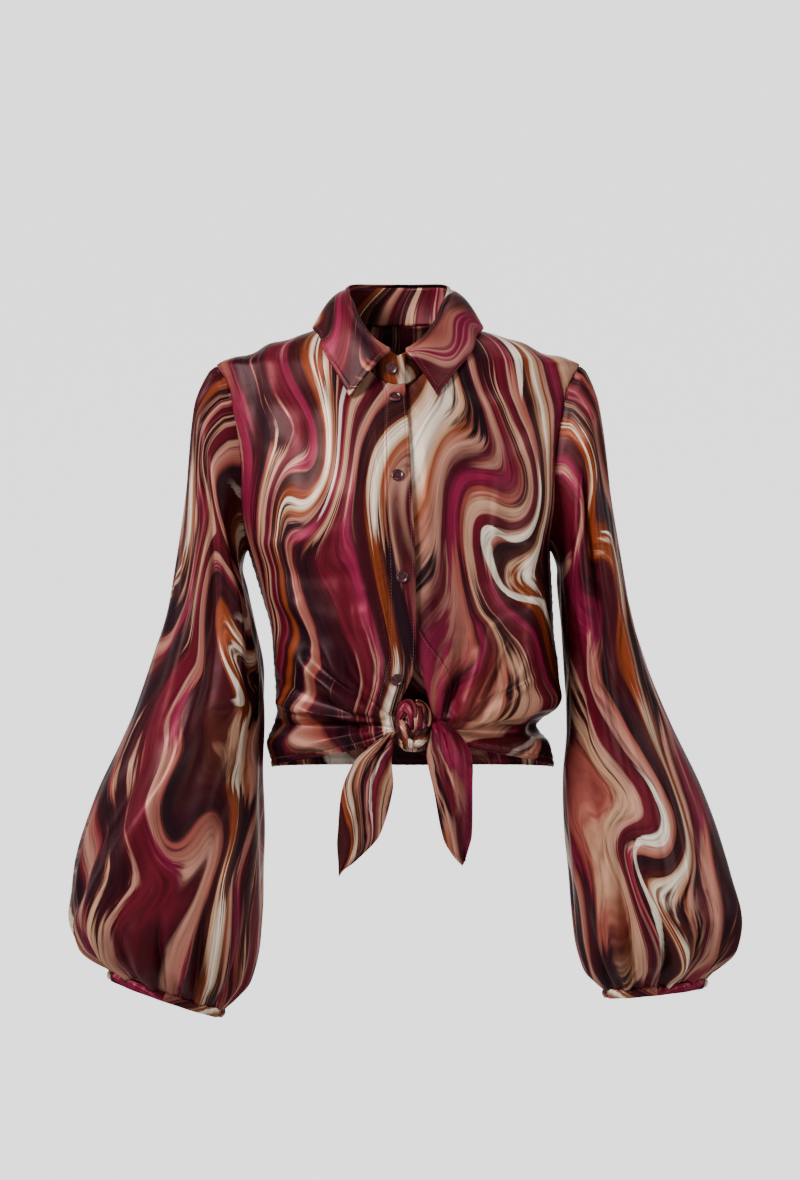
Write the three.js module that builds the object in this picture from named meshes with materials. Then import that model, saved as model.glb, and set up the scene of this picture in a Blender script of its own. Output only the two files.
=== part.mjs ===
// A satin blouse in the shape it has when worn: shirt collar on a stand, button placket, two fronts
// knotted at the waist, balloon sleeves gathered into narrow elasticated cuffs.
// Millimetres, +Z up, the front faces -Y and the wearer's right side lies at -X. The origin is
// midway between the shoulders, at the level where the collar's outer edge meets them.
import * as THREE from "three";

const CLOTH = 1.5; // thickness of a cloth wall
const SEAM = 0.4; // gap between two pieces that are sewn together
const QUARTER = Math.PI / 2;
const DEGREE = Math.PI / 180;

// Horizontal sections of the body, from the hem up to the side neck points. Low and high are its
// least and greatest x, front and back its depths, round the exponent of the superellipse.
const BODY = [
  { z: -440, low: -125, high: 155, front: 105, back: 88, round: 2.3 },
  { z: -428, low: -126, high: 155, front: 106, back: 88, round: 2.3 },
  { z: -408, low: -131, high: 151, front: 107, back: 86, round: 2.3 },
  { z: -390, low: -125, high: 139, front: 105, back: 82, round: 2.3 },
  { z: -376, low: -121, high: 152, front: 111, back: 86, round: 2.3 },
  { z: -360, low: -122, high: 161, front: 118, back: 91, round: 2.4 },
  { z: -330, low: -124, high: 160, front: 122, back: 93, round: 2.4 },
  { z: -300, low: -126, high: 156, front: 123, back: 92, round: 2.4 },
  { z: -255, low: -138, high: 154, front: 122, back: 93, round: 2.4 },
  { z: -215, low: -150, high: 152, front: 123, back: 95, round: 2.4 },
  { z: -170, low: -163, high: 163, front: 122, back: 98, round: 2.3 },
  { z: -120, low: -170, high: 170, front: 107, back: 97, round: 2.2 },
  { z: -80, low: -177, high: 177, front: 87, back: 90, round: 2.2 },
  { z: -54, low: -180, high: 180, front: 70, back: 83, round: 2.1 },
  { z: -31, low: -182, high: 182, front: 60, back: 76, round: 2.0 },
  { z: -17, low: -146, high: 146, front: 55, back: 70, round: 2.0 },
  { z: -5, low: -113, high: 113, front: 50, back: 64, round: 2.0 },
  { z: 5, low: -84, high: 84, front: 44, back: 57, round: 2.0 },
  { z: 12, low: -61, high: 61, front: 39, back: 50, round: 2.0 },
];
const NECK_TOP = 12; // height of the side neck points
const NECK_DROP = 66; // how far the neckline falls from them to the centre front
const SHOULDER_Z = -31; // outer end of the shoulder seam
const UNDERARM_Z = -215;
const ARMHOLE_FRONT = 48; // how far the armhole reaches in front of the shoulder seam
const ARMHOLE_BACK = 46;
const ARMHOLE_EGG = 0.22; // how much wider the armhole is low down
const HEM_SIDE_Z = -432;

// Middle line of the button band, which leans a little as it goes down.
const PLACKET_LINE = [
  { z: -400, x: 4 },
  { z: -340, x: 4.5 },
  { z: -243, x: 4 },
  { z: -147, x: -0.5 },
  { z: -54, x: -6 },
];
const PLACKET_WIDTH = 27;
const PLACKET_THICK = 1.2;
const UNDERLAP = 4.5; // how far the left front lies inside the right one
const BAND_FOOT = { right: 8, left: 9 }; // row of a front's grid where its band ends beside the knot

// Inner edges of the two fronts below the last fastened button, where they part above the knot.
const RIGHT_OPENING = [
  { z: -374, x: -2.8 },
  { z: -362, x: 3 },
  { z: -340, x: 13 },
  { z: -318, x: 18 },
  { z: -290, x: 18 },
];
const LEFT_OPENING = [
  { z: -372, x: 32.2 },
  { z: -355, x: 28 },
  { z: -338, x: 23 },
  { z: -322, x: 15 },
  { z: -305, x: 2 },
  { z: -285, x: -7 },
  { z: -260, x: -10 },
];
const KNOT = { x: 15, y: -112, z: -388, halfWidth: 16.4, halfDepth: 18, halfHeight: 25 };

// Height of a front's inner edge and of its side edge, by share of the panel's height. The lowest
// rows fan out from the knot, and the sides end at the underarm.
const FRONT_ROWS = 28;
const FRONT_COLUMNS = 16;
const BAND_COLUMNS = 2; // of a front's columns, those that lie under the button band
const ARMHOLE_ROWS = 12;
const BACK_ROWS = 24;
const FRONT_EDGES = [
  { share: 0, inner: -398, side: HEM_SIDE_Z },
  { share: 0.13, inner: -387, side: -394 },
  { share: 0.27, inner: -374, side: -338 },
  { share: 1 - ARMHOLE_ROWS / FRONT_ROWS, inner: -250, side: UNDERARM_Z },
  { share: 1, inner: -53, side: SHOULDER_Z },
];
// Angles round the neckline, in degrees from the centre front towards a front's own side, of the
// columns that start on the band. The rest follow every ten degrees.
const BAND_NECK = { right: [-6, 5, 15.6], left: [-15.6, -5, 6] };
const NECK_STEP = 10;
const NECK_FIRST = 20; // degrees of the first of those

// Soft ridges (height above 0) and troughs in the fronts, as curves in front view: from, over, to.
const FRONT_FOLDS = [
  { from: [-6, -376], over: [-24, -352], to: [-38, -280], width: 8, height: 7 },
  { from: [-14, -377], over: [-40, -356], to: [-62, -300], width: 8, height: -6 },
  { from: [-10, -379], over: [-58, -364], to: [-104, -310], width: 9, height: 8 },
  { from: [-22, -382], over: [-70, -371], to: [-122, -344], width: 8, height: -5 },
  { from: [-10, -384], over: [-62, -379], to: [-124, -366], width: 8, height: 7 },
  { from: [-22, -389], over: [-70, -390], to: [-126, -388], width: 7, height: -6 },
  { from: [-10, -393], over: [-60, -400], to: [-122, -408], width: 8, height: 6 },
  { from: [46, -374], over: [58, -352], to: [62, -300], width: 7, height: -5 },
  { from: [54, -378], over: [76, -350], to: [84, -290], width: 9, height: 8 },
  { from: [70, -376], over: [92, -352], to: [102, -310], width: 8, height: -4 },
  { from: [44, -380], over: [90, -372], to: [126, -320], width: 13, height: 7 },
  { from: [40, -382], over: [90, -376], to: [158, -362], width: 12, height: 9 },
  { from: [44, -390], over: [96, -396], to: [152, -390], width: 7, height: -8 },
  { from: [36, -396], over: [90, -410], to: [150, -410], width: 9, height: 5 },
  { from: [-136, -190], over: [-122, -240], to: [-84, -292], width: 13, height: 5 },
  { from: [136, -190], over: [130, -250], to: [116, -330], width: 13, height: 5 },
  { from: [-96, -90], over: [-84, -170], to: [-92, -260], width: 16, height: 3 },
  { from: [92, -90], over: [80, -180], to: [96, -270], width: 16, height: 3 },
];
// The same for the back, which the tie draws in at the waist.
const BACK_FOLDS = [
  { from: [-128, -392], over: [0, -400], to: [140, -392], width: 9, height: -7 },
  { from: [-120, -340], over: [-70, -356], to: [-10, -352], width: 13, height: 6 },
  { from: [140, -338], over: [90, -358], to: [24, -360], width: 13, height: 6 },
  { from: [-92, -120], over: [-84, -220], to: [-66, -330], width: 17, height: 4 },
  { from: [96, -110], over: [90, -220], to: [72, -330], width: 17, height: 4 },
  { from: [4, -150], over: [8, -250], to: [14, -340], width: 20, height: -4 },
  { from: [-140, -180], over: [-120, -240], to: [-100, -290], width: 12, height: 4 },
  { from: [142, -180], over: [130, -240], to: [116, -290], width: 12, height: 4 },
];

// Sleeve outlines in front view, from the armhole to the cuff: the outer line, the line next to the
// body, and how far the sleeve reaches to the front and back of the arm's own line y.
const SLEEVES = {
  right: [
    { share: 0.06, outX: -195, outZ: -43, inX: -155, inZ: -223, front: 56, back: 53, y: 0 },
    { share: 0.13, outX: -203, outZ: -70, inX: -156, inZ: -236, front: 60, back: 57, y: 0 },
    { share: 0.22, outX: -208, outZ: -118, inX: -151, inZ: -258, front: 61, back: 58, y: 0 },
    { share: 0.32, outX: -214, outZ: -182, inX: -142, inZ: -295, front: 62, back: 60, y: -2 },
    { share: 0.42, outX: -226, outZ: -257, inX: -135, inZ: -340, front: 65, back: 64, y: -5 },
    { share: 0.52, outX: -246, outZ: -327, inX: -134, inZ: -390, front: 70, back: 70, y: -8 },
    { share: 0.62, outX: -274, outZ: -400, inX: -135, inZ: -440, front: 76, back: 77, y: -11 },
    { share: 0.72, outX: -303, outZ: -465, inX: -134, inZ: -495, front: 82, back: 83, y: -13 },
    { share: 0.82, outX: -323, outZ: -533, inX: -135, inZ: -550, front: 86, back: 86, y: -14 },
    { share: 0.89, outX: -327, outZ: -575, inX: -140, inZ: -600, front: 83, back: 83, y: -15 },
    { share: 0.95, outX: -315, outZ: -606, inX: -152, inZ: -642, front: 66, back: 66, y: -15 },
    { share: 1, outX: -286, outZ: -633, inX: -173, inZ: -672, front: 38, back: 38, y: -15 },
  ],
  left: [
    { share: 0.06, outX: 193, outZ: -42, inX: 157, inZ: -223, front: 57, back: 53, y: 0 },
    { share: 0.13, outX: 200, outZ: -68, inX: 160, inZ: -236, front: 61, back: 57, y: 0 },
    { share: 0.22, outX: 207, outZ: -116, inX: 161, inZ: -258, front: 62, back: 58, y: 0 },
    { share: 0.32, outX: 215, outZ: -182, inX: 164, inZ: -297, front: 63, back: 60, y: -2 },
    { share: 0.42, outX: 228, outZ: -257, inX: 168, inZ: -345, front: 65, back: 63, y: -5 },
    { share: 0.52, outX: 246, outZ: -325, inX: 169, inZ: -392, front: 69, back: 67, y: -8 },
    { share: 0.62, outX: 276, outZ: -395, inX: 165, inZ: -440, front: 74, back: 73, y: -11 },
    { share: 0.72, outX: 306, outZ: -460, inX: 167, inZ: -492, front: 79, back: 78, y: -13 },
    { share: 0.82, outX: 330, outZ: -530, inX: 172, inZ: -548, front: 82, back: 81, y: -14 },
    { share: 0.89, outX: 339, outZ: -575, inX: 179, inZ: -596, front: 79, back: 79, y: -15 },
    { share: 0.95, outX: 333, outZ: -608, inX: 191, inZ: -630, front: 63, back: 63, y: -15 },
    { share: 1, outX: 306, outZ: -641, inX: 205, inZ: -652, front: 37, back: 37, y: -15 },
  ],
};
const SLEEVE_ROUND = 2.2;
const ARMHOLE_BLEND = 0.13; // share of a sleeve's length where its rings leave the armhole's shape
const GATHERS = 12; // round each cuff
const GATHER_HEIGHT = 4.5;
const GATHER_START = 0.74;
const CUFF_HEIGHT = 9;
const CUFF_GAP = 0.6;
const SLEEVE_ROWS = 15;
const CUFF_WAVE = 1.2;
const HEAD_PLEATS = 9; // waves round the whole armhole, of which those at its top show
const HEAD_PLEAT_HEIGHT = 1.6;

// Long folds in the sleeves. Angle runs round the sleeve from 0 at its front to 90 at its outer line.
const SLEEVE_FOLDS = {
  right: [
    { angle: 34, turn: -8, from: 0.1, to: 0.72, width: 15, height: 5 },
    { angle: 8, turn: -18, from: 0.15, to: 0.66, width: 16, height: -5 },
    { angle: -34, turn: 12, from: 0.2, to: 0.8, width: 15, height: 4 },
    { angle: -12, turn: 62, from: 0.5, to: 0.98, width: 13, height: 6 },
    { angle: 20, turn: 62, from: 0.56, to: 0.97, width: 12, height: -6 },
    { angle: -44, turn: 50, from: 0.6, to: 1, width: 13, height: -5 },
    { angle: 150, turn: 20, from: 0.15, to: 0.8, width: 17, height: 5 },
    { angle: 190, turn: -14, from: 0.2, to: 0.9, width: 17, height: -5 },
    { angle: 225, turn: 10, from: 0.3, to: 0.95, width: 16, height: 5 },
  ],
  left: [
    { angle: 30, turn: 6, from: 0.04, to: 0.62, width: 13, height: 5 },
    { angle: 6, turn: 4, from: 0.05, to: 0.55, width: 11, height: -5 },
    { angle: -16, turn: 10, from: 0.1, to: 0.7, width: 13, height: 5 },
    { angle: -44, turn: 8, from: 0.2, to: 0.86, width: 13, height: -4 },
    { angle: 16, turn: -16, from: 0.55, to: 0.98, width: 13, height: 6 },
    { angle: 48, turn: -8, from: 0.5, to: 0.98, width: 13, height: -5 },
    { angle: -14, turn: -18, from: 0.62, to: 1, width: 12, height: -6 },
    { angle: 150, turn: 20, from: 0.15, to: 0.8, width: 17, height: 5 },
    { angle: 190, turn: -14, from: 0.2, to: 0.9, width: 17, height: -5 },
    { angle: 225, turn: 10, from: 0.3, to: 0.95, width: 16, height: 5 },
  ],
};

// The collar's fold line, by angle from the centre front: distance from the neck's middle and height.
const FOLD_LINE = [
  { angle: 0, radius: 69.5, z: -25 },
  { angle: 19, radius: 68.5, z: -11 },
  { angle: 33, radius: 64.5, z: 6 },
  { angle: 52, radius: 56.5, z: 28 },
  { angle: 90, radius: 49.5, z: 45 },
  { angle: 135, radius: 50, z: 50 },
  { angle: 180, radius: 52, z: 51 },
];
// The leaf's outer edge, which lies on the shoulders: the angle and height it has on the body.
const LEAF_EDGE = {
  right: [
    { angle: 6, on: 32, z: -67 },
    { angle: 30, on: 43, z: -46 },
    { angle: 60, on: 56, z: -20 },
    { angle: 75, on: 65, z: -5 },
    { angle: 95, on: 92, z: 6 },
    { angle: 135, on: 136, z: 5 },
    { angle: 180, on: 180, z: 4 },
  ],
  left: [
    { angle: 6, on: 27, z: -66 },
    { angle: 30, on: 40, z: -46 },
    { angle: 60, on: 56, z: -20 },
    { angle: 75, on: 65, z: -5 },
    { angle: 95, on: 92, z: 6 },
    { angle: 135, on: 136, z: 5 },
    { angle: 180, on: 180, z: 4 },
  ],
};
const LEAF_START = 6; // degrees from the centre front to where each half of the leaf begins
const LEAF_THICK = 1.6;
const LEAF_ROLL_SHARE = 0.2; // share of the leaf's width that rolls over the stand
const LEAF_ROLL = { in: -0.4, out: 3.4, above: 3.2, below: 1 }; // the roll's ends beside the fold line
const LEAF_CLEAR = 4; // how far the leaf's edge stands off the body
const LEAF_BULGE = 5;
const STAND_OVERLAP = 2.6; // how far the stand's left end passes inside its right end
const STAND_GAP = 0.8; // between the neckline and the stand, measured upwards
const STAND_BULGE = 1.5;

// The free ends of the tie: middle line, half width, and how deeply each is folded lengthwise.
const TIE_ENDS = {
  right: [
    { share: 0, x: -4.4, y: -116, z: -392.5, half: 3, fold: 1 },
    { share: 0.12, x: -16, y: -128, z: -407, half: 12, fold: 5 },
    { share: 0.25, x: -25, y: -130, z: -423, half: 19, fold: 8 },
    { share: 0.45, x: -30, y: -129, z: -451, half: 25, fold: 9 },
    { share: 0.75, x: -38, y: -125, z: -494, half: 21, fold: 7 },
    { share: 0.9, x: -48, y: -122, z: -518, half: 10, fold: 4 },
    { share: 1, x: -56, y: -120, z: -530, half: 1.5, fold: 1 },
  ],
  left: [
    { share: 0, x: 34, y: -115.5, z: -379, half: 3, fold: 1 },
    { share: 0.12, x: 45, y: -130, z: -394, half: 14, fold: 6 },
    { share: 0.28, x: 50, y: -132, z: -418, half: 22, fold: 9 },
    { share: 0.5, x: 53.5, y: -130, z: -447, half: 19, fold: 10 },
    { share: 0.8, x: 58, y: -125, z: -494, half: 14, fold: 7 },
    { share: 0.92, x: 61, y: -122, z: -511, half: 7, fold: 3 },
    { share: 1, x: 64, y: -120, z: -520, half: 1.5, fold: 1 },
  ],
};

const BUTTON_RADIUS = 6;
const BUTTON_THICK = 2.4;
const BUTTON_DISH = 0.7; // how far its middle lies below its rim
const BUTTON_SIDES = 14;
const BUTTON_CLEAR = 0.5; // between a button and the band
const BUTTON_HEIGHTS = [-66, -143.5, -242, -342]; // on the placket
const STAND_BUTTON = { column: 1, up: 0.5 }; // where one more lies on the stand's right end

const vector = (x, y, z) => new THREE.Vector3(x, y, z);
const mix = (a, b, share) => a + (b - a) * share;
const smooth = (low, high, value) => THREE.MathUtils.smoothstep(value, low, high);

// A column of a table at any value of its key column, on a curve through the rows that never
// overshoots them. Past either end it keeps the end row's value.
function read(table, key, at, column) {
  const last = table.length - 1;
  if (at <= table[0][key]) return table[0][column];
  if (at >= table[last][key]) return table[last][column];
  let i = 0;
  while (table[i + 1][key] < at) i++;
  const span = (k) => table[k + 1][key] - table[k][key];
  const slope = (k) => (table[k + 1][column] - table[k][column]) / span(k);
  const tangent = (k) => {
    if (k === 0) return slope(0);
    if (k === last) return slope(last - 1);
    const [before, after] = [slope(k - 1), slope(k)];
    return before * after <= 0 ? 0 : (2 * before * after) / (before + after);
  };
  const width = span(i);
  const s = (at - table[i][key]) / width;
  return (
    table[i][column] * (1 + 2 * s) * (1 - s) ** 2 +
    tangent(i) * width * s * (1 - s) ** 2 +
    table[i + 1][column] * s * s * (3 - 2 * s) +
    tangent(i + 1) * width * s * s * (s - 1)
  );
}

// Height of all folds of a table at a point of the front view: each is a soft ridge along a
// quadratic curve, highest in the middle of its length.
function foldHeight(folds, x, z) {
  const steps = 16;
  let total = 0;
  for (const { from, over, to, width, height } of folds) {
    let best = 0;
    for (let i = 0; i <= steps; i++) {
      const s = i / steps;
      const place = (k) => from[k] * (1 - s) ** 2 + 2 * over[k] * s * (1 - s) + to[k] * s * s;
      const away = Math.hypot(place(0) - x, place(1) - z) / width;
      best = Math.max(best, Math.exp(-away * away) * Math.sin(Math.PI * (0.12 + 0.76 * s)));
    }
    total += height * best;
  }
  return total;
}

const halfWidth = (z) => (read(BODY, "z", z, "high") - read(BODY, "z", z, "low")) / 2;
const centre = (z) => (read(BODY, "z", z, "high") + read(BODY, "z", z, "low")) / 2;

// The point of the body's outer face at an angle from the centre front and a height, without folds.
function bodyForm(angle, z) {
  const round = read(BODY, "z", z, "round");
  const depth = read(BODY, "z", z, Math.cos(angle) > 0 ? "front" : "back");
  const across = Math.abs(Math.sin(angle)) / halfWidth(z);
  const along = Math.abs(Math.cos(angle)) / depth;
  const radius = (across ** round + along ** round) ** (-1 / round);
  return vector(centre(z) + radius * Math.sin(angle), -radius * Math.cos(angle), z);
}

// The outward normal of a surface given as a function of two parameters, by small differences.
function normalOf(surface, u, v, step = 1e-3) {
  const across = surface(u + step, v).sub(surface(u - step, v));
  const along = surface(u, v + step).sub(surface(u, v - step));
  return across.cross(along).normalize();
}

const bodyNormal = (angle, z) => {
  const turned = normalOf((a, h) => bodyForm(a, h), angle, z, 2e-3);
  return turned.dot(vector(Math.sin(angle), -Math.cos(angle), 0.3)) < 0 ? turned.negate() : turned;
};

// The body with its folds, and lifted by a chosen amount. Folds die out at the side seams, and
// sooner beside the armholes.
function bodySkin(angle, z, lift = 0) {
  const bare = bodyForm(angle, z);
  const folds = Math.cos(angle) > 0 ? FRONT_FOLDS : BACK_FOLDS;
  const beside = smooth(-300, -230, z);
  const edge = smooth(mix(0, 0.26, beside), mix(0.25, 0.6, beside), Math.abs(Math.cos(angle)));
  const height = edge && foldHeight(folds, bare.x, bare.z) * edge;
  return bare.addScaledVector(bodyNormal(angle, z), height + lift);
}

// The angle at which the front of the body has a given x.
function frontAngle(x, z) {
  const [front, round] = ["front", "round"].map((column) => read(BODY, "z", z, column));
  const share = Math.min(1, Math.abs(x - centre(z)) / halfWidth(z));
  return Math.atan2(x - centre(z), front * (1 - share ** round) ** (1 / round));
}

const neckline = (angle) =>
  Math.cos(angle) > 0 ? NECK_TOP - NECK_DROP * Math.cos(angle) ** 3 : NECK_TOP;

// The seam at the side of the body and on the shoulder, as an angle: half a gap from the middle.
const seamAngle = (z) => QUARTER - SEAM / 2 / halfWidth(z);

// The armhole seam from the underarm (turn 0) over the front or back edge to the shoulder (turn 1),
// as the angle and height it has on the body.
function armhole(turn, reach) {
  const around = Math.PI * turn;
  const middle = (SHOULDER_Z + UNDERARM_Z) / 2;
  const z = middle - ((SHOULDER_Z - UNDERARM_Z) / 2) * Math.cos(around);
  const y = reach * Math.sin(around) * (1 + ARMHOLE_EGG * Math.cos(around));
  const away = Math.abs(y) + SEAM / 2;
  const round = read(BODY, "z", z, "round");
  const depth = read(BODY, "z", z, reach > 0 ? "front" : "back");
  const x = halfWidth(z) * (1 - (away / depth) ** round) ** (1 / round);
  return { angle: Math.atan2(x, Math.sign(reach) * away), z };
}

const placketMiddle = (z) => read(PLACKET_LINE, "z", z, "x");

// The inner edge of a front, as x against height.
function frontEdge(side, z) {
  const opening = side < 0 ? RIGHT_OPENING : LEFT_OPENING;
  const upper = placketMiddle(z) + (side < 0 ? 0.5 : -0.5) * PLACKET_WIDTH;
  return mix(read(opening, "z", z, "x"), upper, smooth(-300, -255, z));
}

// The band's width, which is drawn together where it turns into the knot.
const bandWidth = (z) => mix(9, PLACKET_WIDTH, smooth(-392, -345, z));

// A point between four edges of a patch, each a function to an angle and a height: the edges at
// either side are joined in straight lines, and what the top and bottom stand off those is added.
// The top's share of that starts at the underarm.
function patch(across, up, { left, right, bottom, top, underarm }) {
  const rise = Math.max(0, (up - underarm) / (1 - underarm)) ** 2;
  const at = (key) => {
    const between = (v) => mix(left(v)[key], right(v)[key], across);
    return (
      between(up) +
      rise * (top(across)[key] - between(1)) +
      (1 - up) * (bottom(across)[key] - between(0))
    );
  };
  return { angle: at("angle"), z: at("z") };
}

// The top edge of a front by column: round the neckline to the side neck point, then out along the
// shoulder. Angles are from the centre front towards the panel's own side.
function frontTop(name, column) {
  const onNeck = (QUARTER / DEGREE - NECK_FIRST) / NECK_STEP + BAND_COLUMNS + 1;
  if (column > onNeck) {
    const z = mix(NECK_TOP, SHOULDER_Z, (column - onNeck) / (FRONT_COLUMNS - onNeck));
    return { angle: seamAngle(z), z };
  }
  const stops = [...BAND_NECK[name], NECK_FIRST];
  const low = Math.min(Math.floor(column), BAND_COLUMNS);
  const onBand = mix(stops[low], stops[low + 1], column - low);
  const later = NECK_FIRST + (column - BAND_COLUMNS - 1) * NECK_STEP;
  const angle = Math.min((column <= BAND_COLUMNS + 1 ? onBand : later) * DEGREE, seamAngle(NECK_TOP));
  return { angle, z: neckline(angle) };
}

// The angle and height of a front's point: across 0 at its inner edge to 1 at the side, up 0 at the
// hem to 1 at the neck and shoulder. The first columns keep to the band, the rest are one patch.
function frontPlace(name, across, up) {
  const side = name === "right" ? -1 : 1;
  const bandShare = BAND_COLUMNS / FRONT_COLUMNS;
  const onBand = (share, v) => {
    const level = read(FRONT_EDGES, "share", v, "inner");
    const topEdge = frontTop(name, share * BAND_COLUMNS);
    const z = mix(level, topEdge.z, smooth(0.75, 1, v));
    const x = frontEdge(side, level) + side * bandWidth(level) * share;
    return { angle: mix(side * frontAngle(x, level), topEdge.angle, smooth(0.9, 1, v)), z };
  };
  if (across < bandShare) return onBand(across / bandShare, up);
  const left = (v) => onBand(1, v);
  const right = (v) => {
    const turn = 1 - ((1 - v) * FRONT_ROWS) / ARMHOLE_ROWS;
    if (turn >= 0) return armhole(turn, ARMHOLE_FRONT);
    const z = read(FRONT_EDGES, "share", v, "side");
    return { angle: seamAngle(z), z };
  };
  const bottom = (s) => ({
    angle: mix(left(0).angle, right(0).angle, s),
    z: mix(left(0).z, right(0).z, s ** 0.65),
  });
  const top = (s) => frontTop(name, mix(BAND_COLUMNS, FRONT_COLUMNS, s));
  const underarm = 1 - ARMHOLE_ROWS / FRONT_ROWS;
  return patch((across - bandShare) / (1 - bandShare), up, { left, right, bottom, top, underarm });
}

// A front's outer face. The left front passes inside the right one where they lap.
function frontPoint(name, across, up, lift = 0) {
  const side = name === "right" ? -1 : 1;
  const { angle, z } = frontPlace(name, across, up);
  const bare = bodySkin(side * angle, z, lift);
  if (side < 0) return bare;
  const lapped = 1 - smooth(16, 30, bare.x - placketMiddle(z));
  return bare.addScaledVector(bodyNormal(side * angle, z), -UNDERLAP * lapped);
}

// The back panel's point: across -1 at the wearer's right to 1 at the left, up as on the fronts.
const BACK_NECK_COLUMNS = 9;
const BACK_SHOULDER_COLUMNS = 4;
const BACK_COLUMNS = 2 * (BACK_NECK_COLUMNS + BACK_SHOULDER_COLUMNS);
function backPoint(across, up) {
  const side = Math.sign(across) || 1;
  const left = (v) => ({ angle: Math.PI, z: mix(HEM_SIDE_Z - 2, NECK_TOP, v) });
  const right = (v) => {
    const turn = 1 - ((1 - v) * BACK_ROWS) / ARMHOLE_ROWS;
    if (turn >= 0) return armhole(turn, -ARMHOLE_BACK);
    const z = mix(HEM_SIDE_Z, UNDERARM_Z, v / (1 - ARMHOLE_ROWS / BACK_ROWS));
    return { angle: 2 * QUARTER - seamAngle(z), z };
  };
  const bottom = (s) => ({
    angle: mix(left(0).angle, right(0).angle, s),
    z: mix(left(0).z, right(0).z, s),
  });
  const top = (s) => {
    const column = (s * BACK_COLUMNS) / 2;
    const out = Math.max(0, column - BACK_NECK_COLUMNS) / BACK_SHOULDER_COLUMNS;
    const z = mix(NECK_TOP, SHOULDER_Z, out);
    const angle = Math.max(Math.PI - column * NECK_STEP * DEGREE, 2 * QUARTER - seamAngle(z));
    return { angle, z };
  };
  const underarm = 1 - ARMHOLE_ROWS / BACK_ROWS;
  const place = patch(Math.abs(across), up, { left, right, bottom, top, underarm });
  return bodySkin(side * place.angle, place.z);
}

// Height of a sleeve's long folds, its gathers at the cuff and its pleats at the sleeve head.
function sleeveRelief(name, angle, share) {
  const degrees = angle / DEGREE;
  let height = 0;
  for (const fold of SLEEVE_FOLDS[name]) {
    const run = (share - fold.from) / (fold.to - fold.from);
    if (run <= 0 || run >= 1) continue;
    let away = degrees - fold.angle - fold.turn * run;
    away -= 360 * Math.round(away / 360);
    height += fold.height * Math.exp(-((away / fold.width) ** 2)) * Math.sin(Math.PI * run);
  }
  const waves = GATHER_HEIGHT * smooth(GATHER_START, 0.93, share) * (1 - smooth(0.93, 1, share));
  const gather = waves * Math.cos(GATHERS * angle);
  const head = smooth(0, 0.05, share) * (1 - smooth(0.08, 0.26, share));
  const top = smooth(0.35, 0.8, Math.sin(angle));
  return height + gather + head * top * HEAD_PLEAT_HEIGHT * Math.cos(HEAD_PLEATS * angle);
}

// One ring of a sleeve, without relief: a rounded section between its outer and inner lines, with
// the cuff's small waves at its end.
function sleeveRing(name, angle, share) {
  const at = (column) => read(SLEEVES[name], "share", share, column);
  const [outer, inner] = [vector(at("outX"), 0, at("outZ")), vector(at("inX"), 0, at("inZ"))];
  const middle = outer.clone().add(inner).multiplyScalar(0.5);
  const [sine, cosine] = [Math.sin(angle), Math.cos(angle)];
  const fill =
    (Math.abs(sine) ** SLEEVE_ROUND + Math.abs(cosine) ** SLEEVE_ROUND) ** (-1 / SLEEVE_ROUND);
  const wave = CUFF_WAVE * smooth(0.9, 1, share) * Math.cos(GATHERS * angle);
  const half = outer.distanceTo(inner) / 2;
  const depth = cosine > 0 ? at("front") : at("back");
  return middle
    .addScaledVector(outer.sub(inner).normalize(), (half * fill + wave) * sine)
    .add(vector(0, at("y") - (depth * fill + wave) * cosine, 0));
}

// The armhole seam as the sleeve meets it: straight between the rows of the front or back panel.
function armholeSeam(name, angle) {
  const side = name === "right" ? -1 : 1;
  const reach = Math.cos(angle) > 0 ? ARMHOLE_FRONT : -ARMHOLE_BACK;
  const row = ((Math.asin(Math.sin(angle)) + QUARTER) / Math.PI) * ARMHOLE_ROWS;
  const low = Math.min(Math.floor(row + 1e-9), ARMHOLE_ROWS - 1);
  const [start, end] = [low, low + 1].map((k) => {
    const seam = armhole(k / ARMHOLE_ROWS, reach);
    return bodyForm(side * seam.angle, seam.z);
  });
  return start.lerp(end, row - low);
}

// A sleeve's outer face: angle round it, share of its length. It leaves the armhole seam with a
// small gap and takes its own rounded sections soon after.
function sleevePoint(name, angle, share) {
  const side = name === "right" ? -1 : 1;
  const start = armholeSeam(name, angle);
  const inward = vector(0, -start.y, (SHOULDER_Z + UNDERARM_Z) / 2 - start.z).normalize();
  start.addScaledVector(inward, SEAM).add(vector(side * SEAM * 2.2, 0, 0));
  return start.lerp(sleeveRing(name, angle, share), smooth(0, ARMHOLE_BLEND, share));
}

function sleeveSkin(name, angle, share, lift = 0) {
  const height = sleeveRelief(name, angle, share) + lift;
  const bare = sleevePoint(name, angle, share);
  if (height === 0) return bare;
  const out = normalOf((a, s) => sleevePoint(name, a, s), angle, Math.min(share, 0.998));
  const middle = sleeveRing(name, QUARTER, share).add(sleeveRing(name, -QUARTER, share)).multiplyScalar(0.5);
  if (out.dot(bare.clone().sub(middle)) < 0) out.negate();
  return bare.addScaledVector(out, height);
}

// The cuff's casing hangs from the last ring, square to that ring's plane.
function cuffPoint(name, angle, down) {
  const [outer, inner] = [QUARTER, -QUARTER].map((turned) => sleeveRing(name, turned, 1));
  const across = outer.clone().sub(inner).normalize();
  const drop = vector(across.z, 0, -across.x);
  if (drop.z > 0) drop.negate();
  const middle = outer.add(inner).multiplyScalar(0.5);
  const rim = sleeveRing(name, angle, 1);
  const out = rim.clone().sub(middle).normalize();
  return rim.addScaledVector(drop, CUFF_GAP + down * CUFF_HEIGHT).addScaledVector(out, -SEAM);
}

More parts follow.
